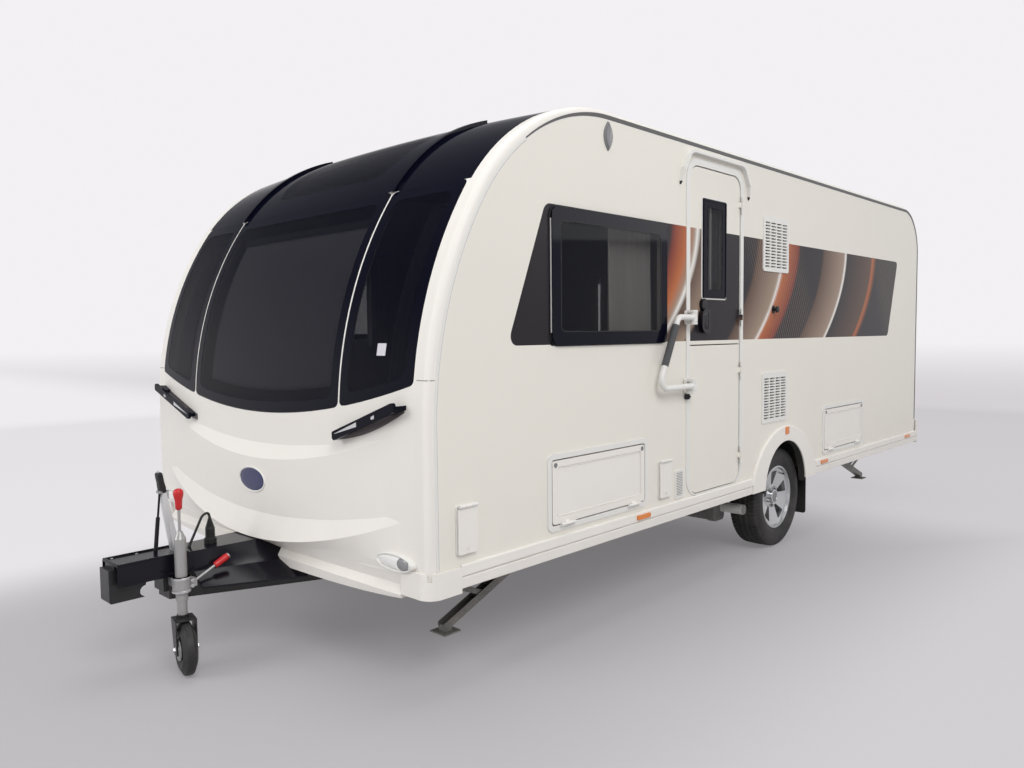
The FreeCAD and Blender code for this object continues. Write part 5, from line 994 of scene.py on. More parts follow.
PANES = [(-WINDOW_EDGE, -PILLAR_X - LINE_HALF), (-PILLAR_X + LINE_HALF, PILLAR_X - LINE_HALF),
         (PILLAR_X + LINE_HALF, WINDOW_EDGE)]
borders = [nose_frame(x0, x1, 0.002, 0.048, 0.024, 0.045, 0.001, -0.0006) for x0, x1 in PANES]
ring_piece("front_window_borders", borders, "gloss_black")
print("front borders", len(borders))

# %% Blinds and curtains behind the nose
def nose_sheet(x0, x1, z_low, z_high, depth, columns=40, rows=32):
    """Sheet that follows the nose behind the glass; the lower edge follows the sill."""
    across = np.linspace(x0, x1, columns)[None, :]
    up = np.linspace(0, 1, rows)[:, None]
    low = sill(across) + z_low
    x = np.broadcast_to(across, (rows, columns))
    return nose_point(x, low + (z_high - low) * up, depth)


middle = nose_sheet(-0.535, 0.535, 0.100, 1.870, 0.040)
piece = cloth_piece("front_blind", middle, "blind_cloth", "caravan", 0.001)
BOX_HEIGHTS = np.array([1.866, 1.866, 1.905, 1.905])
BOX_DEPTHS = np.array([0.037, 0.075, 0.075, 0.037])
box = [nose_point(np.full(4, x), BOX_HEIGHTS, BOX_DEPTHS) for x in np.linspace(-0.56, 0.56, 24)]
solid_piece("blind_box", [np.stack(box)], "grey_plastic")
for number, (x0, x1) in enumerate(((0.86, 1.03), (-1.03, -0.86))):
    grid = nose_sheet(x0, x1, 0.02, 1.93, 0.060, 61, 24)
    wave = 0.012 * np.sin(np.linspace(0, 6 * TURN, 61))[None, :, None]
    grid = grid + wave * np.array([0.0, 1.0, -0.35])
    piece = cloth_piece(
        "front_curtain_%d" % (number + 1), grid, "dark_cloth", "caravan", CURTAIN_THICK
    )
print("front blind and curtains")

# %% [markdown]
# ## Edges of the body
# A dark rubber strip fills the awning rail from the brow over the roof and down the rear. Below
# the brow a white cover strip goes on in its place, with a fine grey seam beside it. All three
# are ribbons that follow the side outline at a fixed distance from the edge.

# %% Strips along the side outline
TAIL_Y, TAIL_RADIUS = 3.1125, 0.370
OUTLINE_FOOT_Z, OUTLINE_REAR_Z, BROW_START_Y = 0.503, 0.61, -1.90


def side_outline(by, steps=28):
    """(y, z) points up the nose, over the roof and down the rear, moved inwards by a distance."""
    nose = NOSE_Y + NOSE_BULGE
    turn_z = KNEE_Z + KNEE_RADIUS * math.sin(KNEE_ANGLE)
    turn_y = nose + KNEE_RADIUS * (1 - math.cos(KNEE_ANGLE))
    brow = (ROOF_EDGE - turn_z) / (1 - math.sin(KNEE_ANGLE))
    runs = [np.array([[nose + by, OUTLINE_FOOT_Z], [nose + by, 0.75]])]
    for centre_y, centre_z, radius, a, b in (
            (nose + KNEE_RADIUS, KNEE_Z, KNEE_RADIUS, 0, KNEE_ANGLE),
            (turn_y + brow * math.cos(KNEE_ANGLE), ROOF_EDGE - brow, brow, KNEE_ANGLE, np.pi / 2),
            (TAIL_Y - TAIL_RADIUS, ROOF_EDGE - TAIL_RADIUS, TAIL_RADIUS, np.pi / 2, np.pi)):
        angle = np.linspace(a, b, steps)[(1 if a else 0):]
        r = radius - by
        runs.append(np.stack([centre_y - r * np.cos(angle), centre_z + r * np.sin(angle)], axis=1))
    runs.append(np.array([[TAIL_Y - by, 1.2], [TAIL_Y - by, OUTLINE_REAR_Z]]))
    return np.concatenate(runs)


def side_strip(name, middle, wide, x0, x1, finish_name, slot, part=slice(None), taper=0):
    """Ribbon on both sides between two distances from the edge and two depths, along a part.

    With a taper, its first points, as many as that, widen from 0.3 of the width to all of it.
    """
    near, far = side_outline(middle - wide / 2)[part], side_outline(middle + wide / 2)[part]
    if taper:
        near = far + (near - far) * np.clip(0.3 + np.arange(len(far)) / taper, 0, 1)[:, None]
    crown = (near + far) / 2
    grid = np.stack([on_wall(near, x0), on_wall(near, x1 - 0.0004), on_wall(crown, x1),
                     on_wall(far, x1 - 0.0004), on_wall(far, x0)], axis=1)
    solid_piece(name, both_sides(grid), finish_name)


STRIP_START = int(np.argmax(side_outline(0.042)[:, 0] > BROW_START_Y))
side_strip("awning_strips", 0.0330, 0.019, WALL_X - 0.002, WALL_X + 0.0018, "awning_strip",
           "dark_plastic", slice(STRIP_START, None), 24)
side_strip("corner_strips", 0.040, 0.0115, WALL_X - 0.002, WALL_X + 0.0018, "white_plastic", "moulding",
           slice(0, STRIP_START + 1))
side_strip("corner_seams", 0.0475, 0.0013, WALL_X - 0.001, WALL_X + 0.0004, "grey_plastic", "moulding",
           slice(0, STRIP_START + 1))
print("strips along", len(side_outline(0.04)), "points")

# %% [markdown]
# ## The front panel
# Two oval lamps sit low at the corners, a plain oval badge in the middle, and behind each grab
# bar a dark plate paints the shade of its recess. Every one is a small grid laid on the panel's face.

# %% Lamps, badge and recesses of the front
def oval(centre_x, y, centre_z, half_x, half_z, proud, power=2.0, rings=8, around=64):
    """Domed oval facing -Y: the height falls from the middle to the rim as a rounded power."""
    share = np.linspace(1, 0.02, rings)[:, None]
    angle = np.arange(around)[None, :] * TURN / around
    x = centre_x + half_x * share * np.cos(angle)
    z = centre_z + half_z * share * np.sin(angle)
    depth = y - proud * (1 - share ** power) ** 0.5 + 0 * angle
    skirt = np.stack([x[0], np.full(around, y + 0.02), z[0]], axis=-1)[None]
    return np.concatenate([skirt, np.stack([x, np.broadcast_to(depth, x.shape), z], axis=-1)])


def oval_ring(centre_x, y, centre_z, half_x, half_z, thick, proud, around=64):
    """Rounded rim round an oval: a half circle section carried round it."""
    angle = np.arange(around) * TURN / around
    section = np.linspace(0, np.pi, 7)
    rows = []
    for s in section:
        out, up = thick / 2 * math.cos(s), proud * math.sin(s)
        rows.append(np.stack([centre_x + (half_x + out) * np.cos(angle), np.full(around, y - up),
                              centre_z + (half_z + out) * np.sin(angle)], axis=1))
    sink = np.array([0, 0.02, 0])
    return np.stack([rows[0] + sink] + rows + [rows[-1] + sink])


LAMP_X, LAMP_Z, LAMP_FACE = 0.9715, 0.519, -2.437
rim = oval_ring(LAMP_X, LAMP_FACE, LAMP_Z, 0.106, 0.031, 0.010, 0.009)
ring_piece("front_lamp_rims", both_sides(rim), "white_plastic")
glass = oval(LAMP_X, LAMP_FACE + 0.001, LAMP_Z, 0.103, 0.0285, 0.011, 3.0)
solid_piece("front_lamp_lenses", both_sides(glass), "clear_lens")
bowl = oval(LAMP_X + 0.052, LAMP_FACE - 0.0060, LAMP_Z + 0.001, 0.036, 0.0235, 0.006, 2.0)
solid_piece("front_lamp_bowls", both_sides(bowl), "smoke_lens")
BADGE_Y, BADGE_Z = -2.4895, 0.732
ring = oval_ring(0.0, BADGE_Y, BADGE_Z, 0.113, 0.056, 0.010, 0.004)
ring_piece("badge_ring", [ring], "white_plastic")
face = oval(0.0, BADGE_Y + 0.001, BADGE_Z, 0.111, 0.054, 0.0040, 2.5)
solid_piece("badge_face", [face], "badge_blue")
GRAB_X, GRAB_WIDE, GRAB_Z, GRAB_RISE = 0.640, 0.400, 0.985, 0.127


def grab_line(share, lift=0.0):
    """(x, z) along the grab bar, from its inner to its outer end."""
    return GRAB_X + GRAB_WIDE * share, GRAB_Z + GRAB_RISE * share + lift


def flat_plate(outline, y0, y1):
    """Solid plate facing -Y from an (x, z) outline, slightly smaller at its face."""
    outline = np.array(outline)
    middle = outline.mean(axis=0)
    small = middle + (outline - middle) * 0.985
    return np.stack([np.column_stack([p[:, 0], np.full(len(p), y), p[:, 1]])
                     for p, y in ((outline, y0), (outline, y1 + 0.0015), (small, y1))])


# A dark plate behind each grab bar paints the shade inside its recess.
RECESS_X, RECESS_WIDE = 0.617, 0.413
RECESS_TOP_Z, TOP_RISE = 0.990, 0.122
RECESS_LOW_Z, LOW_RISE, LOW_SAG = 0.961, 0.131, 0.096
share = np.linspace(0, 1, 24)
recess_x = RECESS_X + RECESS_WIDE * share
recess_top = RECESS_TOP_Z + TOP_RISE * share
recess_low = RECESS_LOW_Z + LOW_RISE * share - LOW_SAG * share * (1 - share)
panel_y = NOSE_Y + NOSE_BULGE * (recess_x / NOSE_HALF) ** 2
rows = []
for depth, edge in ((0.010, 0.0), (-0.0035, 0.0), (-0.0045, 0.0015)):
    upper = np.column_stack([recess_x, panel_y + depth, recess_top - edge])
    lower = np.column_stack([recess_x, panel_y + depth, recess_low + edge])
    rows.append(np.concatenate([upper, lower[::-1]]))
solid_piece("grab_recess_shades", both_sides(np.stack(rows)), "recess_shade")
# The tapered bright strips on each bar are partly chrome trim and partly a painted highlight.
BAR_FACE = -2.4835
bands = []
for a, b, thick_a, thick_b in ((0.05, 0.42, 0.0008, 0.0090), (0.66, 0.71, 0.0050, 0.0075)):
    run = np.linspace(a, b, 10)
    thick = np.linspace(thick_a, thick_b, 10)
    upper = np.stack(grab_line(run, thick), axis=1)
    lower = np.stack(grab_line(run[::-1], -thick[::-1]), axis=1)
    bands.append(flat_plate(np.concatenate([upper, lower]), BAR_FACE + 0.003, BAR_FACE - 0.0016))
bands = [g for band in bands for g in both_sides(band)]
solid_piece("grab_bright_strips", bands, "bright_steel")
print("front panel dressed")

# %% [markdown]
# ## Small things on the side walls
# An awning lamp, locks, a door retainer, a vent strip, dark boards behind the fridge vents, and
# the grip of the swinging hand rail. Round ones are turned profiles, flat ones stacked outlines.

# %% Side wall fittings
LAMP_Y, AWNING_LAMP_Z = -1.3220, 2.270


def leaf_plate(half, tall, x0, x1, shrink):
    """Pointed oval on the side wall: y = half (1 - (z / tall)^2), stacked from x0 to x1."""
    rows = []
    for grow, x in ((1.0, x0), (1.0, x1 - 0.6 * (x1 - x0)), (shrink, x1)):
        z = np.linspace(-tall, tall, 33)
        y = half * (1 - (z / tall) ** 2) + 0.001
        ring = np.concatenate([np.column_stack([y, z]), np.column_stack([-y, -z])])
        rows.append(on_wall(ring * grow + np.array([LAMP_Y, AWNING_LAMP_Z]), x))
    return np.stack(rows)


base = leaf_plate(0.031, 0.066, WALL_X - 0.001, WALL_X + 0.008, 0.92)
solid_piece("awning_lamp_base", [base], "grey_plastic")
cover = leaf_plate(0.021, 0.055, WALL_X + 0.006, WALL_X + 0.019, 0.45)
solid_piece("awning_lamp_lens", [cover], "smoke_lens")


def round_lock(y, z, face, radius=0.0105):
    """Turned lock barrel with a dished face, standing out of a wall."""
    rows = [
        (-0.002, radius), (0.002, radius), (0.0035, radius * 0.86), (0.003, radius * 0.55),
        (0.0015, radius * 0.45), (0.0015, 0.001)
    ]
    return turned(rows, (face, y, z), (1, 0, 0), 24)


LID_FACE = 1.161
LOCK_Z, LOCK_IN = 0.818, 0.032
for name, y0, y1 in (("front", -1.7425, -1.0275), ("rear", 1.1385, 1.8535)):
    locks = [round_lock(y, LOCK_Z, LID_FACE) for y in (y0 + LOCK_IN, y1 - LOCK_IN)]
    body, box = "locker_" + name, (y0 + 0.050, y1 - 0.050, 0.598, 0.798, 0.014)
    solid_piece("locker_locks_" + name, locks, "grey_plastic", body)
    bead = wall_frame(inset(box, -0.007, 0.018), inset(box, -0.002, 0.014), 1.156, 1.1596, 0.0012)
    ring_piece("locker_bead_" + name, [bead], "moulding_paint", body)
for name, y in (("front", -2.2375), ("rear", -0.8605)):
    key = round_lock(y, 0.572, 1.171, 0.007)
    solid_piece("flap_lock_" + name, [key], "white_plastic", "flap_" + name)
knob = [
    (-0.001, 0.024), (0.004, 0.024), (0.006, 0.011), (0.020, 0.010), (0.022, 0.020),
    (0.030, 0.019), (0.032, 0.012), (0.0325, 0.001)
]
retainer = turned(knob, (WALL_X, 0.361, 1.513), (1, 0, 0), 40)
solid_piece("door_retainer", [retainer], "black_rubber")
lock = [
    (-0.001, 0.030), (0.0025, 0.030), (0.004, 0.026), (0.002, 0.018), (0.0035, 0.010),
    (0.0035, 0.001)
]
barrel = turned(lock, (1.169, -0.4825, 1.525), (1, 0, 0), 40)
solid_piece("door_lock", [barrel], "black_rubber", "door_upper")
angle = np.linspace(-np.pi / 2, np.pi / 2, 25)
MOON_Y, MOON_Z = -0.4425, 1.440
MOON_SIZES = ((0.082, 0.066), (0.082, 0.066), (0.070, 0.056), (0.048, 0.040))
moon = [np.column_stack([MOON_Y - wide * np.cos(angle), MOON_Z + tall * np.sin(angle)])
        for wide, tall in MOON_SIZES]
paddle = np.stack([on_wall(outline, x) for outline, x in zip(moon, (1.167, 1.174, 1.1785, 1.1798))])
solid_piece("door_latch_paddle", [paddle], "black_cover", "door_upper")
VENT_LEVELS = ((0.822, 1.130), (1.740, 2.070))
backs = [wall_plate((0.214, 0.552, low + 0.004, high - 0.004, 0.01), 1.1215, 1.1225)
         for low, high in VENT_LEVELS]
solid_piece("vent_backs", backs, "inner_dark")
STRIP = (-0.757, -0.671, 0.518, 0.668, 0.010)
frame_ring = wall_frame(STRIP, inset(STRIP, 0.012, 0.005), WALL_X - 0.001, WALL_X + 0.006, 0.002)
slats = []
for z in np.arange(STRIP[2] + 0.014, STRIP[3] - 0.014, 0.0085):
    slat = (STRIP[0] + 0.010, STRIP[1] - 0.010, z, z + 0.0045, 0.002)
    slats.append(wall_plate(slat, WALL_X - 0.001, WALL_X + 0.0045))
ring_piece("vent_strip_frame", [frame_ring], "white_plastic")
solid_piece("vent_strip_slats", slats, "white_plastic")
back = wall_plate(inset(STRIP, 0.008, 0.004), WALL_X - 0.001, WALL_X + 0.001)
solid_piece("vent_strip_back", [back], "grey_plastic")
print("side fittings ready")

# %% Hand rail grip
RAIL_X = 1.201
upper, lower = np.array([RAIL_X, -0.7975, 1.457]), np.array([RAIL_X, -0.9775, 1.102])
way = (lower - upper) / np.linalg.norm(lower - upper)
reach = np.linalg.norm(lower - upper)
grip = [(0.045, 0.0155), (0.047, 0.0176), (reach * 0.68, 0.0176), (reach * 0.68 + 0.002, 0.0155)]
for ridge in np.arange(0.062, reach * 0.66, 0.012):
    grip += [(ridge, 0.0176), (ridge + 0.003, 0.0184), (ridge + 0.006, 0.0176)]
grip = sorted(grip)
solid_piece("hand_rail_grip", [turned(grip, upper, way, 32)], "foam_grip", "hand_rail")
buffer = wall_plate((-0.668, -0.632, 1.030, 1.058, 0.010), WALL_X + 0.004, WALL_X + 0.026, 0.010)
solid_piece("hand_rail_buffer", [buffer], "black_rubber")
print("hand rail grip", round(float(reach), 3))

# %% [markdown]
# ## The drawbar
# The hand brake is a pressed channel with a black grip and a gas strut. The jockey wheel has a
# red knob on its winding rod and a red sleeve on the clamp lever. The black cover carries low
# ribs along its top edges.

# %% Hand brake
LEVER_FOOT = np.array([0.0, -2.8525, 0.4785])
LEVER_LEAN = math.radians(10)
LEVER_WAY = np.array([0.0, -math.sin(LEVER_LEAN), math.cos(LEVER_LEAN)])
LEVER_SIDE = np.array([0.0, math.cos(LEVER_LEAN), math.sin(LEVER_LEAN)])


def lever_point(along, out, x):
    """Point at a distance up the lever, out from its middle plane and across."""
    return LEVER_FOOT + LEVER_WAY * along + LEVER_SIDE * out + np.array([x, 0, 0])


def lever_section(along, half, out, wall, fold):
    """Open channel section at one height: back, two folded sides and their thickness."""
    ring = [(-half, -out), (-half + fold, -out - fold), (half - fold, -out - fold), (half, -out),
            (half, out), (half - wall, out), (half - wall, -out + wall),
            (-half + wall, -out + wall), (-half + wall, out), (-half, out)]
    return np.array([lever_point(along, b, a) for a, b in ring])


stations = [
    (0.001, 0.0215, 0.0125), (0.05, 0.0215, 0.0125), (0.17, 0.0205, 0.0105),
    (0.235, 0.0190, 0.0085), (0.268, 0.0180, 0.0070)
]
channel = np.stack([lever_section(a, half, out, 0.0025, 0.003) for a, half, out in stations])
lever = solid_piece("hand_brake_lever", [channel], "pressed_steel")
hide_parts("hand_brake")


def rounded_bar(stations, around=24, power=3.0):
    """Grid of super-elliptic sections (along, half across, half out) up the lever."""
    angle = np.arange(around) * TURN / around
    c, s = np.cos(angle), np.sin(angle)
    a = np.sign(c) * np.abs(c) ** (2 / power)
    b = np.sign(s) * np.abs(s) ** (2 / power)
    rows = [LEVER_FOOT + LEVER_WAY * along + np.outer(a * half, [1, 0, 0]) + np.outer(b * out, LEVER_SIDE)
            for along, half, out in stations]
    return np.stack(rows)


grip = rounded_bar([(0.258, 0.0200, 0.0110), (0.261, 0.0225, 0.0135), (0.28, 0.0230, 0.0140),
                    (0.305, 0.0205, 0.0125), (0.325, 0.0210, 0.0130), (0.340, 0.0205, 0.0120),
                    (0.344, 0.0160, 0.0090)])
solid_piece("hand_brake_grip", [grip], "black_rubber")
release = rounded_bar([(0.343, 0.006, 0.004), (0.352, 0.006, 0.004), (0.354, 0.004, 0.0025)], 16, 2.0)
solid_piece("hand_brake_release", [release], "bright_steel")
strut_foot = LEVER_FOOT + np.array([0.0, -0.084, 0.0])
strut_top = lever_point(0.262, -0.012, 0.0)
run = np.linalg.norm(strut_top - strut_foot)
tube = [
    (0.0, 0.0085), (run * 0.58, 0.0085), (run * 0.59, 0.0075), (run * 0.60, 0.0045),
    (run * 0.985, 0.0045)
]
strut = turned(tube, strut_foot, strut_top - strut_foot, 20)
solid_piece("hand_brake_strut", [strut], "black_cover")
PIN_HALF = 0.019


def cross_pin(end, small, wide, place):
    """Pin across the lever, wide between its shoulders and tapered to a small radius at both ends."""
    rows = [(-end, small), (-PIN_HALF, wide), (PIN_HALF, wide), (end, small)]
    return turned(rows, place, (1, 0, 0), 16)


pins = [cross_pin(0.021, 0.005, 0.007, strut_top),
        cross_pin(0.022, 0.006, 0.009, lever_point(0.022, 0.0, 0.0))]
solid_piece("hand_brake_pins", pins, "galvanised")
print("hand brake", round(float(run), 3))

# %% Parked towing plug and its lead
PLUG_Y, PLUG_Z = -2.6965, 0.4785
LEAD_ROUTE = [(0.0, PLUG_Y, 0.5828), (0.0, PLUG_Y, 0.6148), (0.0, -2.7288, 0.6068),
              (0.0, -2.7436, 0.5773), (0.0, -2.7935, 0.4783)]


def route_curve(name, points, diameter):
    """Round cord on one open NURBS spline with the route's points as control points."""
    curve = bpy.data.curves.new(name, "CURVE")
    curve.dimensions = "3D"
    spline = curve.splines.new("NURBS")
    spline.points.add(len(points) - 1)
    for control, point in zip(spline.points, points):
        control.co = (*point, 1)
    spline.order_u = 3
    spline.use_endpoint_u = True
    curve.resolution_u = 16
    curve.bevel_depth = diameter / 2
    curve.bevel_resolution = 4
    curve.use_fill_caps = True
    piece = bpy.data.objects.new(name, curve)
    bpy.context.scene.collection.objects.link(piece)
    return piece


lead = route_curve("towing_lead_cord", LEAD_ROUTE, 0.011)
dress(lead, "black_rubber", "caravan")
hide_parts("towing_lead")
plug_rows = [(0.0, 0.0262), (0.002, 0.0265), (0.020, 0.0265), (0.022, 0.0235), (0.024, 0.0212)]
for step in range(5):
    start = 0.027 + 0.0075 * step
    plug_rows += [
        (start, 0.0212), (start + 0.0015, 0.0195), (start + 0.0045, 0.0195),
        (start + 0.006, 0.0212)
    ]
plug_rows += [(0.0665, 0.0205)]
for step in range(6):
    start, wide = 0.069 + 0.0062 * step, 0.0185 - 0.0018 * step
    plug_rows += [
        (start, wide), (start + 0.0030, wide - 0.0003), (start + 0.0034, wide - 0.0022),
        (start + 0.0055, wide - 0.0024)
    ]
plug_rows += [(0.108, 0.0078), (0.1105, 0.0060)]
plug = turned(plug_rows, (0.0, PLUG_Y, PLUG_Z), (0, 0, 1), 40)
plug = solid_piece("towing_plug", [plug], "black_rubber")
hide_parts("towing_lead")
lug = [(0.0, 0.005), (0.0, 0.0072), (0.008, 0.0068), (0.010, 0.0060)]
gland = turned(lug, LEAD_ROUTE[-1], (0, 0.45, 0.9), 20)
solid_piece("towing_lead_gland", [gland], "cast_black")
print("towing plug")

# %% Jockey wheel fittings
JOCKEY_X, JOCKEY_Y = 0.135, -2.8905
knob = [
    (0.676, 0.0065), (0.680, 0.0115), (0.684, 0.0138), (0.700, 0.0140), (0.716, 0.0150),
    (0.728, 0.0178), (0.738, 0.0202), (0.748, 0.0205), (0.757, 0.0180), (0.763, 0.0110),
    (0.765, 0.001)
]
knob = turned(knob, (JOCKEY_X, JOCKEY_Y, 0), (0, 0, 1), 32)
solid_piece("jockey_knob", [knob], "red_plastic")
tip = np.array([JOCKEY_X, JOCKEY_Y + 0.148, 0.414])
sleeve = [
    (0.0, 0.008), (0.002, 0.0125), (0.010, 0.0135), (0.052, 0.0145), (0.066, 0.0135),
    (0.071, 0.008), (0.0715, 0.001)
]
sleeve = turned(sleeve, tip - np.array([0, 0.004, 0.002]), (0, 1, 0.5), 24)
solid_piece("clamp_sleeve", [sleeve], "red_plastic")
TURNED = math.radians(-102)
SPINDLE = np.array([math.cos(TURNED), math.sin(TURNED), 0.0])
HUB = np.array([JOCKEY_X - 0.040 * math.sin(TURNED), JOCKEY_Y + 0.040 * math.cos(TURNED), 0.110])
plate = [(0.028, 0.048), (0.0325, 0.046), (0.0325, 0.030), (0.0345, 0.028), (0.0345, 0.0105),
         (0.030, 0.0105)]
caps = [turned(plate, HUB, SPINDLE * side, 40) for side in (-1, 1)]
ring_piece("jockey_hub_plates", caps, "galvanised", "jockey_wheel")
nut = [(0.041, 0.0145), (0.0425, 0.0145), (0.043, 0.011), (0.050, 0.011), (0.052, 0.008)]
nuts = [turned(nut, HUB, SPINDLE * side, 6) for side in (-1, 1)]
solid_piece("jockey_nuts", nuts, "bright_steel", "jockey_fork")
head = [(0.0, 0.009), (0.008, 0.009), (0.010, 0.006)]
bolts = [turned(head, (JOCKEY_X + dx, JOCKEY_Y + 0.036, z), (dx, 0.0, 0), 6)
         for dx in (0.018, -0.018) for z in (0.356, 0.378)]
rings = []
for z in (0.334, 0.387):
    rows = [(z, 0.0362), (z + 0.002, 0.0385), (z + 0.009, 0.0385), (z + 0.011, 0.0362)]
    rings.append(turned(rows, (JOCKEY_X, JOCKEY_Y, 0), (0, 0, 1), 40))
solid_piece("clamp_bolts", bolts, "bright_steel")
solid_piece("clamp_rims", rings, "bright_steel")
print("jockey hub at", HUB.round(3))

# %% Cover ribs and screws, mover rollers
RIB_LOW_Z, RIB_SHOULDER_Z, RIB_TOP_Z = 0.477, 0.4825, 0.4845
RIB_STATIONS = (-3.119, -3.05, -2.95, -2.83)


def rib_section(start, end):
    """(across, z) round a low rib on the cover: upright sides and a top half as wide."""
    step = (end - start) / 4
    return np.array([(start, RIB_LOW_Z), (start, RIB_SHOULDER_Z), (start + step, RIB_TOP_Z),
                     (end - step, RIB_TOP_Z), (end, RIB_SHOULDER_Z), (end, RIB_LOW_Z)])


ribs = []
for side in (-1, 1):
    x, z = rib_section(side * 0.070, side * 0.078).T
    ribs.append(np.stack([np.column_stack([x, np.full(len(x), y), z]) for y in RIB_STATIONS]))
y, z = rib_section(RIB_STATIONS[0], RIB_STATIONS[0] + 0.008).T
ribs.append(np.stack([np.column_stack([np.full(len(y), x), y, z]) for x in (-0.076, 0.0, 0.076)]))
solid_piece("cover_ribs", ribs, "black_cover")
head = [(0.0, 0.006), (0.0015, 0.006), (0.003, 0.0035), (0.003, 0.0005)]
screws = [turned(head, (side * 0.060, y, 0.478), (0, 0, 1), 16)
          for side in (-1, 1) for y in (-3.09, -2.99, -2.83)]
solid_piece("cover_screws", screws, "bright_steel")
ROLLER_Y, ROLLER_Z = 0.1755, 0.292
rollers = []
for side in (-1, 1):
    rows = [(0.918, 0.0302), (0.920, 0.0312)]
    rows += [(0.92 + 0.0045 * i, 0.0312 - 0.0010 * (i % 2)) for i in range(1, 31)]
    rows += [(1.0575, 0.0312), (1.0635, 0.0302)]
    rollers.append(turned(rows, (0, ROLLER_Y, ROLLER_Z), (side, 0, 0), 40))
# The aluminium rollers get white plastic so they stay bright in the shade under the body: painted light.
solid_piece("mover_rollers", rollers, "white_plastic")
print("drawbar dressed")

# %% [markdown]
# ## Rear lamps
# Each tall cluster has three round pods with a red, an amber and a clear lens, and there is a high
# brake lamp in the middle.

# %% Rear lenses
POD_Y, POD_RADIUS = 3.1423, 0.0453
POD_X = 0.955
CLUSTER_LOW_Z, CLUSTER_TALL = 0.640, 0.470
PODS = (("stop", 5 / 6, "red_lens"), ("turn", 1 / 2, "amber_lens"), ("reverse", 1 / 6, "clear_lens"))
POD_ROWS = [(-0.012, POD_RADIUS), (-0.002, POD_RADIUS), (-0.0003, POD_RADIUS - 0.0015),
            (0.0, POD_RADIUS - 0.004), (0.0, 0.024), (-0.0002, 0.022), (0.0, 0.020), (0.0, 0.001)]
for name, share, tint in PODS:
    z = CLUSTER_LOW_Z + CLUSTER_TALL * share
    lenses = [turned(POD_ROWS, (side * POD_X, POD_Y, z), (0, 1, 0), 48) for side in (-1, 1)]
    solid_piece("rear_%s_lenses" % name, lenses, tint)
print("rear lenses")

# %% [markdown]
# ## Small things seen close up
# Dark linings inside the arch trims, the amber lens over each arch marker, the ends of the drip
# rail, the joint in each corner moulding, a thin white strip at the front edge of the right side
# window that paints a highlight, and one blank sticker on the nose.

# %% Linings, plates and joints
ARCH_Y, ARCH_Z, ARCH_R = 0.5355, 0.400, 0.2893
angle = np.linspace(0, np.pi, 49)


def arch_ring(radius, x):
    """Half circle of the arch at one x, continued straight down at both ends."""
    y = np.concatenate([[radius], radius * np.cos(angle), [-radius]])
    z = np.concatenate([[-0.008], radius * np.sin(angle), [-0.008]])
    return np.column_stack([np.full(len(y), x), ARCH_Y + y, ARCH_Z + z])


LINING_IN_X, LINING_OUT_X, LINING_THICK = 1.1245, 1.1640, 0.0012
lining = np.stack([arch_ring(ARCH_R, LINING_IN_X), arch_ring(ARCH_R, LINING_OUT_X),
                   arch_ring(ARCH_R - LINING_THICK, LINING_OUT_X),
                   arch_ring(ARCH_R - LINING_THICK, LINING_IN_X)], axis=1)
solid_piece("arch_linings", both_sides(lining), "inner_dark")
marker = wall_plate((ARCH_Y - 0.024, ARCH_Y + 0.024, 0.731, 0.778, 0.004), 1.1705, 1.1768, 0.002)
solid_piece("arch_marker_lenses", both_sides(marker), "amber_lens")


def drip_leg(y_top, y_end, z_top, z_end):
    """Leg of the drip rail on the right wall, from its cut end downwards, tapering."""
    rows = []
    middle_y, middle_z = (y_top + y_end) / 2, (z_top + z_end) / 2
    for y, z, wide, proud in ((y_top, z_top, 0.0065, 0.026), (middle_y, middle_z, 0.0060, 0.022),
                              (y_end, z_end, 0.0050, 0.014)):
        x0, x1 = WALL_X - 0.001, WALL_X + proud
        rows.append([(x0, y - wide, z), (x1 - 0.003, y - wide, z), (x1, y, z), (x1 - 0.003, y + wide, z),
                     (x0, y + wide, z)])
    return np.array(rows)


legs = [drip_leg(-0.693, -0.706, 2.221, 2.150), drip_leg(0.008, 0.021, 2.221, 2.150)]
tips = [drip_leg(-0.706, -0.709, 2.150, 2.134), drip_leg(0.021, 0.024, 2.150, 2.134)]
tips = [tip * np.array([0.4, 1, 1]) + np.array([0.6 * WALL_X, 0, 0]) for tip in tips]
solid_piece("drip_rail_legs", legs, "white_plastic")
solid_piece("drip_rail_tips", tips, "inner_dark")
JOINT_Z, JOINT_HALF = 1.215, 0.0016
JOINT_PATH = [(1.088, -2.4106), (1.120, -2.4106), (1.1304, -2.4098), (1.1406, -2.4056), (1.1505, -2.3952),
              (1.1530, -2.3902), (1.1553, -2.3800)]
joint = []
for x, y in JOINT_PATH:
    inside = np.array([x, y]) - np.array([0.0020, -0.0020])
    joint.append([(inside[0], inside[1], JOINT_Z - JOINT_HALF), (x, y - 0.0001, JOINT_Z - JOINT_HALF),
                  (x, y + 0.0001, JOINT_Z + JOINT_HALF), (inside[0], inside[1], JOINT_Z + JOINT_HALF)])
solid_piece("corner_joints", both_sides(np.array(joint)), "grey_plastic")
# A thin white strip at the window's front edge paints a highlight.
edge = wall_plate((-1.7334, -1.7315, 1.385, 1.865, 0.0008), WALL_X - 0.001, 1.1650, 0.0006)
solid_piece("window_edge_highlight", [edge], "white_plastic")
patch_x, patch_z = np.meshgrid(np.linspace(0.852, 0.902, 6), np.linspace(1.304, 1.351, 6))
label = nose_point(patch_x, patch_z, -0.0008)
back = nose_point(patch_x, patch_z, 0.001)
sheet_label = np.stack(
    [np.concatenate([g[0, :], g[1:-1, -1], g[-1, ::-1], g[-2:0:-1, 0]]) for g in (back, label)]
)
solid_piece("window_sticker", [sheet_label], "sticker")
print("close-up pieces ready")
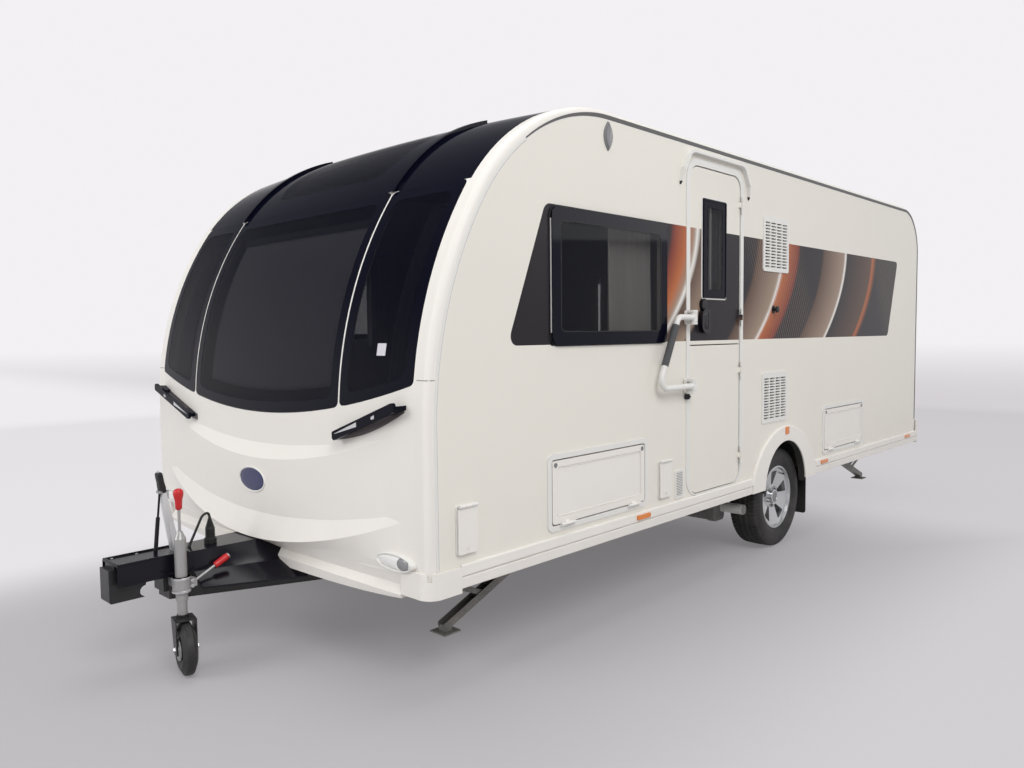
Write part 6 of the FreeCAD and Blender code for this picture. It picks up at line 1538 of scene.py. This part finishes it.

# %% [markdown]
# ## The studio
# The photograph shows the caravan on a plain grey floor that pales into a white wall without an
# edge. Near the caravan the floor is a surface that takes its shadow, but it also glows a little,
# which lifts that shadow, and glows more in a light zone to the left and a paler grey zone to the
# right, behind and ahead: painted light. With distance it turns into the colour of the wall, which
# the world shows too, so that no horizon is seen.

# %% Floor and wall
WALL_WHITE = (0.895, 0.875, 0.895)
LEFT_TONE = (0.860, 0.835, 0.860)
RIGHT_TONE = (0.660, 0.635, 0.660)
CEILING = (0.20, 0.20, 0.215)
FLOOR_GREY = (0.470, 0.460, 0.475)
FLOOR_GLOW = (0.470, 0.455, 0.470)
GLOW_SHARE, GLOW_MOST = 0.36, 0.84
FADE_RADIUS, FLOOR_RADIUS = 12.0, 90.0


def seen_by(tree):
    """1 where the camera, a reflection or a see-through ray looks, and 0 for plain light."""
    path = tree.nodes.new("ShaderNodeLightPath")
    seen = math_node(tree, "MAXIMUM", path.outputs["Is Camera Ray"], path.outputs["Is Glossy Ray"])
    return math_node(tree, "MAXIMUM", seen, path.outputs["Is Transmission Ray"])


def studio_floor():
    """Flat disc; its shader mixes the lit surface with glowing tones by zone, painted light that lifts
    its shadow, and with the tone of the wall by distance.
    """
    distance = np.concatenate([[0.0], np.geomspace(2.0, FLOOR_RADIUS, 16)])
    angle = np.arange(72) * TURN / 72
    grid = np.stack([distance[:, None] * np.cos(angle), distance[:, None] * np.sin(angle),
                     np.zeros((len(distance), len(angle)))], axis=-1)
    rows, columns, _ = grid.shape
    floor = new_mesh("studio_floor", grid.reshape(-1, 3), grid_faces(rows, columns, False, True))
    material = bpy.data.materials.new("studio_floor")
    material.use_nodes = True
    tree = material.node_tree
    shader, out = tree.nodes["Principled BSDF"], tree.nodes["Material Output"]
    point = object_point(tree)
    cloud = noise(tree, point, 0.22, 2.0)
    tone = mix_colours(
        tree, cloud, tuple(c * 0.94 for c in FLOOR_GREY), tuple(c * 1.06 for c in FLOOR_GREY)
    )
    tree.links.new(tone, shader.inputs["Base Color"])
    shader.inputs["Roughness"].default_value = 0.8
    shader.inputs["Specular IOR Level"].default_value = 0.2
    away = tree.nodes.new("ShaderNodeVectorMath")
    away.operation = "LENGTH"
    tree.links.new(point, away.inputs[0])
    near = math_node(
        tree, "DIVIDE", FADE_RADIUS,
        math_node(tree, "MAXIMUM", away.outputs["Value"], FADE_RADIUS)
    )
    fade = minus(tree, 1.0, near)
    fade = math_node(tree, "DIVIDE", fade, 0.995 - FADE_RADIUS / FLOOR_RADIUS, clamp=True)
    fade = math_node(tree, "POWER", fade, 2.2)
    x, y, _ = parts_of(tree, point)
    behind = stepped(tree, y, 2.0, 7.0)
    left = times(tree, stepped(tree, times(tree, x, -1.0), 0.9, 2.2),
                     minus(tree, 1.0, behind))
    right = math_node(tree, "MAXIMUM", stepped(tree, x, 1.3, 2.5), stepped(tree, y, 0.4, 2.2))
    ahead = stepped(tree, times(tree, y, -1.0), 4.6, 7.5)
    right = math_node(tree, "MAXIMUM", right, ahead)
    # Painted light: the glow is lighter in the zone to the left and paler grey to the right, behind and
    # ahead.
    tone = mix_colours(tree, left, mix_colours(tree, right, FLOOR_GLOW, RIGHT_TONE), LEFT_TONE)
    glow = tree.nodes.new("ShaderNodeEmission")
    tree.links.new(mix_colours(tree, fade, tone, WALL_WHITE), glow.inputs["Color"])
    # Painted light: a share of glow lifts the floor's shadow, least near the caravan and most in the side
    # zones.
    around = math_node(tree, "MAXIMUM", left, right)
    share = math_node(tree, "MULTIPLY_ADD", around, GLOW_MOST - GLOW_SHARE, GLOW_SHARE)
    share = math_node(tree, "MAXIMUM", share, stepped(tree, away.outputs["Value"], 6.0, 12.0))
    share = times(tree, share, seen_by(tree))
    mix = tree.nodes.new("ShaderNodeMixShader")
    tree.links.new(share, mix.inputs[0])
    tree.links.new(shader.outputs[0], mix.inputs[1])
    tree.links.new(glow.outputs[0], mix.inputs[2])
    tree.links.new(mix.outputs[0], out.inputs["Surface"])
    floor.data.materials.append(material)
    floor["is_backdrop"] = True


def studio_world(light):
    """World: plain light, and where it is looked at, the white wall that darkens high overhead."""
    world = bpy.data.worlds.new("studio_world")
    bpy.context.scene.world = world
    world.use_nodes = True
    tree = world.node_tree
    tree.nodes.clear()
    height = parts_of(tree, tree.nodes.new("ShaderNodeTexCoord").outputs["Generated"])["Z"]
    overhead = stepped(tree, height, 0.38, 0.80)
    mirrored = stepped(tree, height, 0.02, 0.50)
    glossy = tree.nodes.new("ShaderNodeLightPath").outputs["Is Glossy Ray"]
    dark = math_node(tree, "MAXIMUM", overhead, times(tree, mirrored, glossy))
    shown = mix_colours(tree, dark, WALL_WHITE, CEILING)
    plain, wall = tree.nodes.new("ShaderNodeBackground"), tree.nodes.new("ShaderNodeBackground")
    plain.inputs[0].default_value, plain.inputs[1].default_value = (1, 1, 1, 1), light
    tree.links.new(shown, wall.inputs[0])
    mix, out = tree.nodes.new("ShaderNodeMixShader"), tree.nodes.new("ShaderNodeOutputWorld")
    tree.links.new(seen_by(tree), mix.inputs[0])
    tree.links.new(plain.outputs[0], mix.inputs[1])
    tree.links.new(wall.outputs[0], mix.inputs[2])
    tree.links.new(mix.outputs[0], out.inputs[0])


studio_floor()
studio_world(0.50)
print("floor and wall ready")

# %% Lamps
def soft_lamp(name, place, target, size, power):
    """Square area lamp at a place, turned to face a target."""
    data = bpy.data.lights.new(name, "AREA")
    data.size, data.energy = size, power
    lamp = bpy.data.objects.new(name, data)
    lamp.location = place
    lamp.rotation_euler = (Vector(target) - Vector(place)).to_track_quat("-Z", "Y").to_euler()
    bpy.context.scene.collection.objects.link(lamp)


soft_lamp("key", (9.0, -5.0, 9.0), (0.5, 0.0, 1.0), 6.0, 700)
soft_lamp("rear_fill", (8.0, 7.5, 5.0), (1.0, 2.0, 1.0), 4.0, 90)
soft_lamp("front_fill", (-3.0, -11.0, 5.0), (0.0, -2.0, 1.2), 5.0, 365)
soft_lamp("top", (0.0, 1.0, 11.0), (0.0, 0.0, 2.0), 7.0, 400)
print("lamps ready")

# %% Sizes and finish
low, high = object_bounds()
print("dressed box", [round(v, 3) for v in (*low, *high)])
